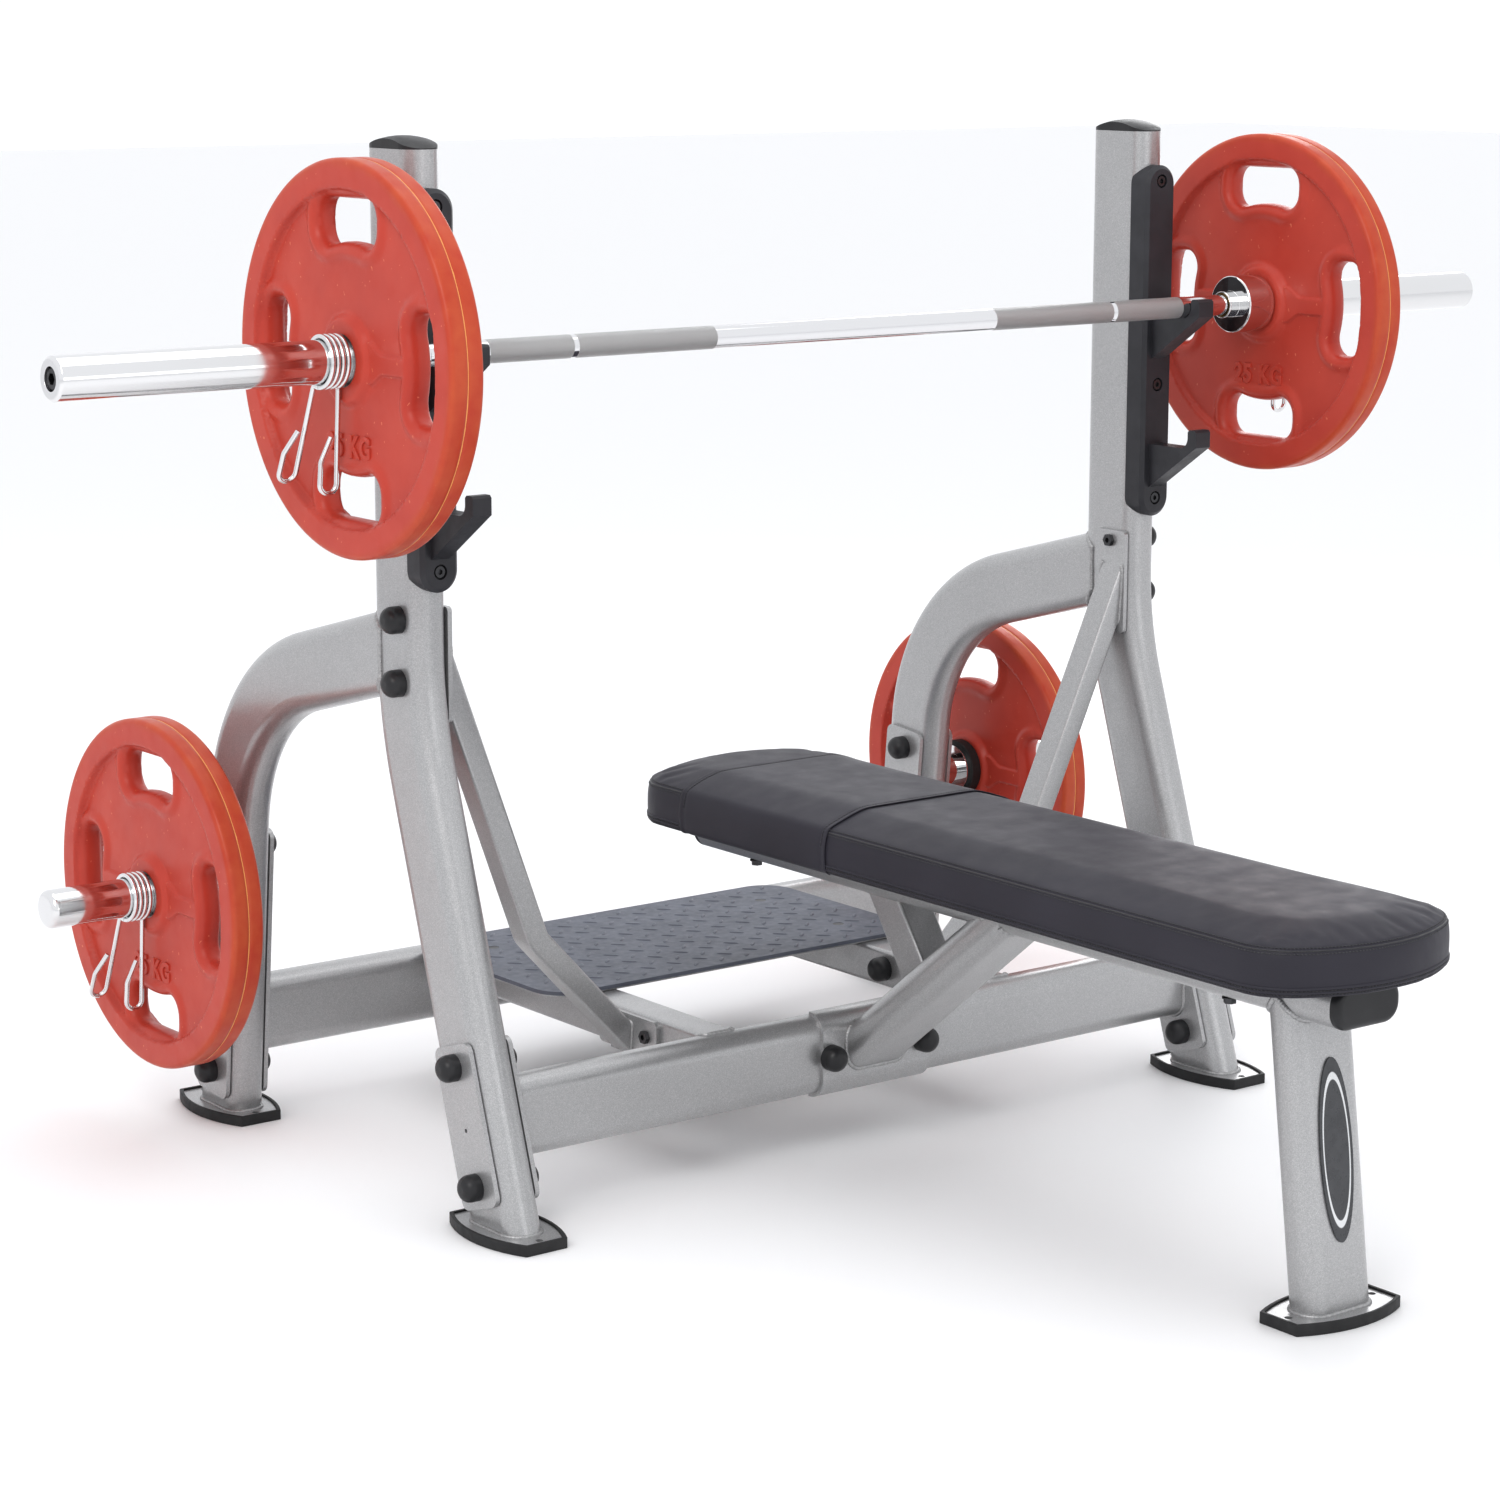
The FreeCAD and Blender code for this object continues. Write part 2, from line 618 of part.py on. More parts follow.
def pad_prism(inset, z, height):
    solid = prism(pad_outline(inset, z), Z_AXIS * height)
    upright_edges = [edge for edge in solid.Edges
                     if abs(edge.Vertexes[0].Z - edge.Vertexes[-1].Z) > height / 2]
    return solid.makeFillet(PAD_CORNER - inset, upright_edges)


def pad_cushion():
    """Foam and vinyl body; the plywood board sits in its underside."""
    body = pad_prism(0, PAD_BOTTOM, PAD_TOP - PAD_BOTTOM)
    top_edges = [edge for edge in body.Edges
                 if min(v.Z for v in edge.Vertexes) > PAD_TOP - 1]
    body = body.makeFillet(15.0, top_edges)
    return body.cut(pad_prism(BOARD_INSET, PAD_BOTTOM, BOARD_THICK))


def pad_board():
    board = pad_prism(BOARD_INSET, PAD_BOTTOM, BOARD_THICK)
    return cut_all(board, [rod(Z_AXIS, Vector(x, y, PAD_BOTTOM - 1), 4.1, 14)
                           for x, y in PAD_BOLT_POINTS])


def pad_bolts():
    bolts = []
    under = SPINE_Z - TUBE_HALF_THIN
    for x, y in PAD_BOLT_POINTS:
        shank = rod(Z_AXIS, Vector(x, y, under), 4.0, PAD_BOTTOM + 12 - under)
        washer = rod(Z_AXIS, Vector(x, y, under - 1.6), 9.0, 1.6)
        head = hexagon(Vector(x, y, under - 7.0), Z_AXIS, 7.4, 5.4)
        bolts.append(fused([shank, washer, head]))
    return bolts


def leg_badge():
    """Blank oval plate on the front leg."""
    up = Vector(0, math.sin(FRONT_LEG_LEAN), math.cos(FRONT_LEG_LEAN))
    front = Vector(0, -math.cos(FRONT_LEG_LEAN), math.sin(FRONT_LEG_LEAN))
    center = Vector(0, front_leg_axis_y(BADGE_Z), BADGE_Z) + front * TUBE_HALF_THIN
    oval = Part.Wire(Part.Ellipse(Vector(0, 0, 0), BADGE_HALF_LONG, BADGE_HALF_WIDE).toShape())
    return prism(placed(oval, center, up, X_AXIS * -1), front * 2.0)


# ---- bar hooks ----------------------------------------------------------------------
def hook(z_axis_height):
    """J-shaped arm for a bar whose axis is at the given height."""
    cradle = SHAFT_RADIUS + HOOK_GAP
    tip_back = BAR_Y - cradle
    tip_front = tip_back - 16.0
    seat = z_axis_height - cradle
    root = STRIP_FRONT + 2.0
    diagonal = cradle * math.sin(math.radians(45))
    points = [Vector(0, root, seat), Vector(0, BAR_Y, seat)]
    edges = [Part.makeLine(points[0], points[1])]
    arc_end = Vector(0, tip_back, z_axis_height)
    edges.append(Part.Arc(points[1], Vector(0, BAR_Y - diagonal, z_axis_height - diagonal),
                          arc_end).toShape())
    rest = [arc_end,
            Vector(0, tip_back, z_axis_height + 8),
            Vector(0, tip_back - 3, z_axis_height + 11),
            Vector(0, tip_front + 3, z_axis_height + 11),
            Vector(0, tip_front, z_axis_height + 8),
            Vector(0, tip_front, z_axis_height - 12),
            Vector(0, root, z_axis_height - 74),
            points[0]]
    for start, end in zip(rest, rest[1:]):
        edges.append(Part.makeLine(start, end))
    profile = Part.Face(Part.Wire(edges))
    profile.translate(Vector(UPRIGHT_X - HOOK_HALF_WIDE, 0, 0))
    return profile.extrude(X_AXIS * (2 * HOOK_HALF_WIDE))


def hook_strip():
    """Moulded strip on the upright's front with two bar hooks and three screw seats."""
    half_length = (STRIP_TOP - STRIP_BOTTOM) / 2
    center = Vector(UPRIGHT_X, STRIP_BACK, (STRIP_TOP + STRIP_BOTTOM) / 2)
    back = prism(placed(rounded_rectangle(26.0, half_length, 25.9), center, X_AXIS, Z_AXIS),
                 Y_AXIS * (STRIP_FRONT - STRIP_BACK))
    rim = [edge for edge in back.Edges
           if max(abs(v.Y - STRIP_FRONT) for v in edge.Vertexes) < 0.01]
    back = back.makeChamfer(5.0, rim)
    body = fused([back, hook(BAR_Z), hook(BAR_Z - LOWER_HOOK_DROP)])
    _, envelope = upright_tube()
    tools = [envelope]
    for z in STRIP_SCREWS_Z:
        tools.append(rod(Y_AXIS, Vector(UPRIGHT_X, STRIP_FRONT - 5, z), 4.3, 40))
        tools.append(rod(Y_AXIS, Vector(UPRIGHT_X, STRIP_FRONT - 5, z), 9.0, 11))
    return cut_all(body, tools)


def hook_screws():
    screws = []
    for z in STRIP_SCREWS_Z:
        seat_y = STRIP_FRONT + 6
        head = rod(Y_AXIS, Vector(UPRIGHT_X, seat_y - 5, z), 6.8, 5)
        socket = hexagon(Vector(UPRIGHT_X, seat_y - 5, z), Y_AXIS, 3.4, 3.0)
        shank = rod(Y_AXIS, Vector(UPRIGHT_X, seat_y, z), 4.0,
                    UPRIGHT_Y + TUBE_HALF_WIDE + 6 - seat_y)
        screws.append(fused([head, shank]).cut(socket))
    return both_sides(screws)


def hook_nuts():
    """Domed nuts on the back of the uprights."""
    nuts = []
    back_y = UPRIGHT_Y + TUBE_HALF_WIDE
    for z in STRIP_SCREWS_Z:
        body = hexagon(Vector(UPRIGHT_X, back_y, z), Y_AXIS, 7.4, 5.0)
        dome = rod(Y_AXIS, Vector(UPRIGHT_X, back_y + 5, z), 5.6, 4.0)
        nut = fused([body, dome.makeFillet(2.5, [dome.Edges[0]])])
        nuts.append(nut.cut(rod(Y_AXIS, Vector(UPRIGHT_X, back_y - 1, z), 4.05, 7.2)))
    return both_sides(nuts)


# ---- fasteners ----------------------------------------------------------------------
def hexagon(base, axis, radius, height):
    """Hexagonal prism whose corners lie on the given radius."""
    side = Vector(axis.z, axis.x, axis.y)
    other = axis.cross(side)
    corners = []
    for step in range(6):
        angle = math.radians(60 * step)
        corners.append(base + side * (radius * math.cos(angle))
                       + other * (radius * math.sin(angle)))
    return prism(Part.makePolygon(corners + corners[:1]), axis * height)


def bolt_stations():
    """Head face, nut face, head-capped and nut-capped for every frame bolt on the +X side."""
    stations = []
    for y, z in FRONT_BOLTS + REAR_BOLTS:
        stations.append((Vector(OUTER_FACE + PLATE_THICK, y, z),
                         Vector(BRACKET_FACE, y, z), True, True))
    stations.append((Vector(BRACKET_FACE, BRACKET_Y, BRACKET_BOLT_Z),
                     Vector(OUTER_FACE, BRACKET_Y, BRACKET_BOLT_Z), False, True))
    stations.append((Vector(OUTER_FACE, BRACKET_Y, BRACE_BOLT_Z),
                     Vector(BRACKET_FACE, BRACKET_Y, BRACE_BOLT_Z), True, False))
    for y, z in RAIL_BOLTS:
        stations.append((Vector(RAIL_OUTER + PLATE_THICK, y, z),
                         Vector(RAIL_INNER, y, z), False, True))
    stations.append((Vector(SADDLE_BOLT_X, SADDLE_FRONT, CROSSBAR_Z),
                     Vector(SADDLE_BOLT_X, CROSSBAR_BACK, CROSSBAR_Z), True, True))
    return stations


def frame_bolt(head_face, nut_face):
    along = (nut_face - head_face).normalize()
    length = head_face.distanceToPoint(nut_face)
    shank = rod(along, head_face, BOLT_RADIUS, length + 7)
    head = hexagon(head_face - along * 6, along, 8.6, 6)
    socket = rod(along, head_face - along * 6, 3.5, 3.5)
    return fused([shank, head]).cut(socket)


def frame_nut(head_face, nut_face):
    along = (nut_face - head_face).normalize()
    nut = hexagon(nut_face, along, 8.6, 7)
    return nut.cut(rod(along, nut_face - along, BOLT_RADIUS + 0.05, 10))


def bolt_cap(face, outward):
    """Push-on dome over a bolt head or nut."""
    dome = rod(outward, face, CAP_RADIUS, CAP_HEIGHT)
    far = face + outward * CAP_HEIGHT
    rim = [edge for edge in dome.Edges
           if edge.CenterOfMass.distanceToPoint(far) < 0.5]
    dome = dome.makeFillet(12.0, rim)
    return dome.cut(rod(outward, face, 9.2, 9.0))


def frame_bolts():
    return both_sides([frame_bolt(head, nut) for head, nut, _, _ in bolt_stations()])


def frame_nuts():
    return both_sides([frame_nut(head, nut) for head, nut, _, _ in bolt_stations()])


def bolt_caps():
    caps = []
    for head, nut, head_capped, nut_capped in bolt_stations():
        along = (nut - head).normalize()
        if head_capped:
            caps.append(bolt_cap(head, along * -1))
        if nut_capped:
            caps.append(bolt_cap(nut, along))
    return both_sides(caps)


# ---- plate storage ------------------------------------------------------------------
def storage_peg():
    """Clamp plate on the rear leg's outer face with the plate peg and its stop disc."""
    plate_face = OUTER_FACE + PLATE_THICK
    center = Vector(plate_face, PEG_Y, PEG_Z)
    peg = ring(X_AXIS, center, PEG_RADIUS - 3.5, PEG_RADIUS, PEG_END - 12 - plate_face)
    stop = ring(X_AXIS, Vector(640, PEG_Y, PEG_Z), PEG_RADIUS - 1, 36.0, 6.0)
    return fused([rear_flange(OUTER_FACE), peg, stop])


def peg_end_cap():
    start = PEG_END - 12
    head = rod(X_AXIS, Vector(start, PEG_Y, PEG_Z), PEG_RADIUS, 12)
    rim = [edge for edge in head.Edges if abs(edge.CenterOfMass.x - PEG_END) < 0.1]
    head = head.makeFillet(8.0, rim)
    plug = rod(X_AXIS, Vector(start - 18, PEG_Y, PEG_Z), PEG_RADIUS - 3.7, 18)
    return fused([head, plug])


def peg_bumper():
    return ring(X_AXIS, Vector(646, PEG_Y, PEG_Z), PEG_RADIUS + 0.1, 42.0,
                STORED_DISC_INNER_X - 646 - 0.4)


# ---- barbell ------------------------------------------------------------------------
def on_bar(shape):
    shape.translate(Vector(0, BAR_Y, BAR_Z))
    return shape


def bar_shaft():
    half = 1070.0
    shaft = rod(X_AXIS, Vector(-half, 0, 0), SHAFT_RADIUS, 2 * half)
    for x in (-half - 1, half - 29):
        shaft = shaft.cut(rod(X_AXIS, Vector(x, 0, 0), 8.0, 30))
    return on_bar(shaft)


def sleeve():
    """Rotating sleeve: inner collar ring, 50 mm seat for the plates and end lip."""
    seat = PLATE_INNER_X - 0.3
    profile = [(BOSS_END_X, SLEEVE_BORE), (BOSS_END_X, 17.0), (BOSS_END_X + 1, 18.0),
               (COLLAR_FACE_X, 18.0), (COLLAR_FACE_X, COLLAR_RADIUS - 1.5),
               (COLLAR_FACE_X + 1.5, COLLAR_RADIUS), (seat - 3, COLLAR_RADIUS),
               (seat, COLLAR_RADIUS - 3), (seat, SLEEVE_RADIUS),
               (SLEEVE_END - 3, SLEEVE_RADIUS), (SLEEVE_END, SLEEVE_RADIUS - 3),
               (SLEEVE_END, 13.5), (1088, 13.5), (1088, SLEEVE_BORE)]
    return on_bar(revolved_x(profile))


def bushings():
    """Two plain bearing bushes between the shaft and each sleeve."""
    bushes = [ring(X_AXIS, Vector(x, 0, 0), SHAFT_RADIUS + 0.02, SLEEVE_BORE - 0.05, 38)
              for x in (634.0, 1030.0)]
    return both_sides([on_bar(bush) for bush in bushes])


def end_bolt():
    """Screw that keeps the sleeve on the shaft."""
    profile = [(1041, 0), (1041, 7.95), (1070, 7.95), (1070, 15.5), (1080, 15.5),
               (1080, 13), (1096, 13), (1098, 11), (1098, 0)]
    body = revolved_x(profile)
    body = body.cut(hexagon(Vector(1090, 0, 0), X_AXIS, 7.0, 12))
    return on_bar(body)


# ---- plates -------------------------------------------------------------------------
def grip_outline(grow, x):
    """Hand hole above the centre: flat outer edge, inner edge concentric with the hub."""
    half_wide = GRIP_HALF_WIDE + grow
    outer = GRIP_OUTER + grow
    inner = GRIP_INNER - grow
    low = math.sqrt(inner ** 2 - half_wide ** 2)
    radius = GRIP_CORNER + grow / 2
    a = Vector(x, -half_wide, outer)
    b = Vector(x, half_wide, outer)
    c = Vector(x, half_wide, low)
    d = Vector(x, -half_wide, low)
    wire = Part.Wire([Part.makeLine(a, b), Part.makeLine(b, c),
                      Part.Arc(c, Vector(x, 0, inner), d).toShape(), Part.makeLine(d, a)])
    solid = prism(wire, X_AXIS)
    corners = [edge for edge in solid.Edges
               if abs(edge.Vertexes[0].X - edge.Vertexes[-1].X) > 0.5]
    rounded = solid.makeFillet(radius, corners)
    face = min(rounded.Faces, key=lambda item: item.CenterOfMass.x)
    return face.OuterWire


def grip_prism(grow, half_thick):
    return prism(grip_outline(grow, -half_thick), X_AXIS * (2 * half_thick))


def grip_flare(side):
    """Tapered cut that rounds off one face's side of a hand hole."""
    near = grip_outline(0.0, side * GRIP_LAND)
    far = grip_outline(GRIP_FLARE, side * (DISC_WEB_HALF + 5.0))
    return Part.makeLoft([near, far], True)


def quarter_turns(first):
    grips = []
    for quarter in range(4):
        grip = first.copy()
        grip.rotate(Vector(0, 0, 0), X_AXIS, 90 * quarter)
        grips.append(grip)
    return grips


def half_profile(points):
    """Mirror (half thickness, radius) points into a closed (x, r) outline."""
    right = [(half, radius) for half, radius in points]
    left = [(-half, radius) for half, radius in reversed(points)]
    return right + left


def disc_envelope():
    outline = [(DISC_HALF_THICK, RING_OUTER), (DISC_HALF_THICK, 47),
               (DISC_WEB_HALF, 56), (DISC_WEB_HALF, 185),
               (DISC_HALF_THICK - 1, 191), (DISC_HALF_THICK, 194),
               (DISC_HALF_THICK, 219), (DISC_HALF_THICK - 2, 223),
               (DISC_HALF_THICK - 6, DISC_RADIUS)]
    return revolved_x(half_profile(outline))


def disc_core():
    """Cast iron body buried in the rubber."""
    outline = [(18.5, RING_OUTER), (18.5, 40), (9, 46), (9, 197), (18.5, 201), (18.5, 217)]
    return cut_all(revolved_x(half_profile(outline)), quarter_turns(grip_prism(14.0, 40.0)))


def disc_coat():
    """Rubber coat with raised lips round its four hand holes."""
    lips = quarter_turns(grip_prism(LIP_WIDE, DISC_WEB_HALF + LIP_RISE))
    body = fused([disc_envelope()] + lips)
    tools = quarter_turns(grip_prism(0.0, 60.0))
    for side in (-1, 1):
        tools += quarter_turns(grip_flare(side))
    return cut_all(body, tools + [disc_core()])


def disc_ring():
    return ring(X_AXIS, Vector(-DISC_HALF_THICK, 0, 0), DISC_BORE, RING_OUTER,
                2 * DISC_HALF_THICK)


# ---- spring collars -----------------------------------------------------------------
def grip_points(angle, axial):
    """Handle route: out along a radius, round a hairpin and back beside itself."""
    radians = math.radians(angle)
    out = Vector(0, math.sin(radians), -math.cos(radians))

    def at(along, radial):
        return Vector(axial + along, 0, 0) + out * radial

    return [at(0, 150), at(22, 150), at(21, 114), at(8.2, 86)]


def grip_path(angle, axial, turning):
    """Wire axis from the coil circle, through a tight bend, to the handle's end."""
    lead = 12.0
    wrap = 26.0
    radius = COIL_RADIUS

    def on_circle(degrees, scale=1.0):
        rad = math.radians(degrees)
        return Vector(axial, radius * scale * math.sin(rad), -radius * scale * math.cos(rad))

    leave = angle - turning * lead
    begin = angle - turning * wrap
    arc = Part.Arc(on_circle(begin), on_circle((begin + leave) / 2),
                   on_circle(leave)).toShape()
    corner = on_circle(angle, 1 / math.cos(math.radians(lead)))
    route = bent_path([on_circle(leave), corner] + grip_points(angle, axial),
                      [5.0, 10.8, 10.8, 12.0])
    return Part.Wire([arc] + route.Edges), begin


def wire_solid(path, start, along):
    profile = Part.Wire(Part.makeCircle(WIRE_RADIUS, start, along))
    return path.makePipeShell([profile], True, False)


def collar_grip(angle, axial, turning):
    path, begin = grip_path(angle, axial, turning)
    rad = math.radians(begin)
    start = Vector(axial, COIL_RADIUS * math.sin(rad), -COIL_RADIUS * math.cos(rad))
    along = Vector(0, math.cos(rad), math.sin(rad)) * turning
    return wire_solid(path, start, along)


def coil_span():
    """Angles where the coil starts and ends, measured from straight down."""
    wrap = 26.0
    start = FIXED_GRIP_ANGLE + wrap
    end = MOVING_GRIP_ANGLE - wrap + 360.0 * COIL_TURNS
    return start, end


def collar_coil():
    start, end = coil_span()
    turns = (end - start) / 360.0
    helix = Part.makeHelix(COIL_PITCH, COIL_PITCH * turns, COIL_RADIUS)
    profile = Part.Wire(Part.makeCircle(WIRE_RADIUS, Vector(COIL_RADIUS, 0, 0), Y_AXIS))
    solid = Part.Wire(helix).makePipeShell([profile], True, True)
    rad = math.radians(start)
    down = Vector(0, math.sin(rad), -math.cos(rad))
    return placed(solid, Vector(0, 0, 0), down, X_AXIS.cross(down))


def spring_coil():
    """Coil with its fixed handle."""
    fixed = collar_grip(FIXED_GRIP_ANGLE, 0.0, -1)
    return fixed.fuse(collar_coil())


def moving_grip():
    """The coil's free end and its handle, 0.4 mm beyond the coil's cut."""
    start, end = coil_span()
    axial = COIL_PITCH * (end - start) / 360.0
    grip = collar_grip(MOVING_GRIP_ANGLE, axial, 1)
    grip.rotate(Vector(0, 0, 0), X_AXIS, 0.8)
    return grip


# ---- write every node ---------------------------------------------------------------
os.makedirs("parts", exist_ok=True)

for name, solid in (("upright", upright()), ("rear_leg", rear_leg()), ("brace", brace()),
                    ("hook_strip", hook_strip()), ("storage_peg", storage_peg()),
                    ("bar_sleeve", sleeve())):
    write(name + "_right", solid)
    write(name + "_left", mirrored(solid))

write("upright_caps", both_sides([upright_cap()]))
write("front_crossbar", front_crossbar())
write("rear_crossbar", rear_crossbar())
write("side_plates", both_sides([side_plate()]))
write("platform_rails", both_sides([platform_rail()]))
write("platform_deck", platform_deck())
write("tread_mat", tread_mat())
write("platform_screws", platform_screws())
write("spine_tube", spine_tube())
write("spine_caps", [spine_cap(SPINE_FRONT, -1), spine_cap(SPINE_REAR, 1)])
write("front_leg", front_leg())
write("leg_badge", leg_badge())
write("bench_strut", bench_strut())
write("bench_post", bench_post())
write("pad_board", pad_board())
write("pad_cushion", pad_cushion())
write("pad_bolts", pad_bolts())
write("hook_screws", hook_screws())
write("hook_nuts", hook_nuts())
write("frame_bolts", frame_bolts())
write("frame_nuts", frame_nuts())
write("bolt_caps", bolt_caps())
write("peg_end_caps", both_sides([peg_end_cap()]))
write("peg_bumpers", both_sides([peg_bumper()]))
write("bar_shaft", bar_shaft())
write("bar_bushings", bushings())
write("bar_end_bolts", both_sides([end_bolt()]))
write("foot_boots",
      both_sides([rubber_boot(UPRIGHT_X, UPRIGHT_FOOT_Y, Y_AXIS, X_AXIS * -1),
                  rubber_boot(UPRIGHT_X, REAR_PLATE_Y, Y_AXIS, X_AXIS * -1)])
      + [rubber_boot(0, FRONT_LEG_FOOT_Y, X_AXIS, Y_AXIS)])

DISC_PLACES = {"bar": Vector(PLATE_INNER_X + DISC_HALF_THICK, BAR_Y, BAR_Z),
               "stored": Vector(STORED_DISC_INNER_X + DISC_HALF_THICK, PEG_Y, PEG_Z)}
DISC_PIECES = {"coat": disc_coat(), "core": disc_core(), "ring": disc_ring()}
COLLAR_PIECES = {"spring": spring_coil(), "grip": moving_grip()}
COLLAR_OFFSET = DISC_HALF_THICK + WIRE_RADIUS + 0.5

for place, center in DISC_PLACES.items():
    for piece, shape in DISC_PIECES.items():
        solid = shape.copy()
        solid.translate(center)
        write("%s_plate_%s_right" % (place, piece), solid)
        write("%s_plate_%s_left" % (place, piece), mirrored(solid))
    for piece, shape in COLLAR_PIECES.items():
        solid = shape.copy()
        solid.translate(center + X_AXIS * COLLAR_OFFSET)
        write("%s_collar_%s_right" % (place, piece), solid)
        write("%s_collar_%s_left" % (place, piece), mirrored(solid))
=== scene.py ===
import math
import random

import bmesh
import bpy
from mathutils import Matrix, Vector
from mathutils.bvhtree import BVHTree
from mathutils.geometry import delaunay_2d_cdt
from mathutils.kdtree import KDTree


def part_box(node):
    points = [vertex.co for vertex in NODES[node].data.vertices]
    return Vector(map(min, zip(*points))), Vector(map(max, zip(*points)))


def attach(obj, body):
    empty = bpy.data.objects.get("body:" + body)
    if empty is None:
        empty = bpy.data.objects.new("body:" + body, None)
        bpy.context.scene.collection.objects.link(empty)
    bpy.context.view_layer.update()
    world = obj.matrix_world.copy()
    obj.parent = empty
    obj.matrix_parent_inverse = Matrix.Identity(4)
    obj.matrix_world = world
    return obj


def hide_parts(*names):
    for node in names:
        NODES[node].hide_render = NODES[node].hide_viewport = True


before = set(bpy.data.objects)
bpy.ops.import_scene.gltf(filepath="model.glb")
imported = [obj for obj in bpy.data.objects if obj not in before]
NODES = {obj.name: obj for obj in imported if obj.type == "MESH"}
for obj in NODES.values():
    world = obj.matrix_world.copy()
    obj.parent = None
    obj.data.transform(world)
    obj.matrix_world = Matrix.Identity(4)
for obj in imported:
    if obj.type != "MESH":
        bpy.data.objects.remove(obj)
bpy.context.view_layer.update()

SCENE = bpy.context.scene
SCENE.view_settings.view_transform = "Standard"
SCENE.view_settings.exposure = 0.16
SCENE.view_settings.gamma = 0.84
SIDES = (("right", 1), ("left", -1))
UP = Vector((0, 0, 1))


def low_high(node):
    low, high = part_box(node)
    return Vector(low), Vector(high)


def centre(node):
    low, high = low_high(node)
    return (low + high) / 2


# ---- camera and studio --------------------------------------------------------------
CAMERA_PLACE = Vector((-2.9689, -3.5897, 1.4351))
CAMERA_YAW = math.radians(52.231)
CAMERA_PITCH = math.radians(10.803)
CAMERA_ROLL = math.radians(0.176)


def add_camera():
    data = bpy.data.cameras.new("camera")
    data.sensor_width = 36.0
    data.lens = 91.3
    data.shift_x = -0.0124
    data.shift_y = -0.0155
    data.clip_end = 60.0
    camera = bpy.data.objects.new("camera", data)
    SCENE.collection.objects.link(camera)
    ahead = Vector((math.cos(CAMERA_YAW) * math.cos(CAMERA_PITCH),
                    math.sin(CAMERA_YAW) * math.cos(CAMERA_PITCH), -math.sin(CAMERA_PITCH)))
    turn = ahead.to_track_quat("-Z", "Y").to_matrix().to_4x4()
    camera.matrix_world = (Matrix.Translation(CAMERA_PLACE) @ turn
                           @ Matrix.Rotation(CAMERA_ROLL, 4, "Z"))
    SCENE.camera = camera


def area_light(name, place, target, size, power, tint=(1, 1, 1)):
    data = bpy.data.lights.new(name, "AREA")
    data.shape = "RECTANGLE"
    data.size, data.size_y = size
    data.energy = power
    data.color = tint
    lamp = bpy.data.objects.new(name, data)
    SCENE.collection.objects.link(lamp)
    lamp.location = place
    lamp.rotation_euler = (Vector(target) - Vector(place)).to_track_quat("-Z", "Y").to_euler()


def add_studio():
    world = bpy.data.worlds.new("studio")
    SCENE.world = world
    world.use_nodes = True
    background = world.node_tree.nodes["Background"]
    background.inputs["Color"].default_value = (0.97, 0.98, 1.0, 1)
    background.inputs["Strength"].default_value = 0.98
    area_light("key", (-3.4, -2.2, 3.6), (0, 0, 0.5), (2.2, 2.2), 52, (1, 0.98, 0.96))
    area_light("top", (0.4, 0.2, 4.6), (0, 0, 0), (3.5, 3.0), 30)
    area_light("rim", (3.6, 2.8, 2.4), (0, 0, 0.7), (1.2, 3.0), 20)
    area_light("low_front", (0.8, -4.4, 1.2), (0, 0, 0.6), (2.4, 1.0), 6)
    data = bpy.data.meshes.new("floor")
    reach = 30.0
    data.from_pydata([(-reach, -reach, 0), (reach, -reach, 0), (reach, reach, 0),
                      (-reach, reach, 0)], [], [(0, 1, 2, 3)])
    floor = bpy.data.objects.new("studio_floor", data)
    SCENE.collection.objects.link(floor)
    shade = Shader("studio_floor", (0.90, 0.90, 0.905), 0.6)
    shade.bsdf.inputs["Specular IOR Level"].default_value = 0.25
    shade.bump(shade.noise(9.0, 2), 0.05, 0.002)
    data.materials.append(shade.material)


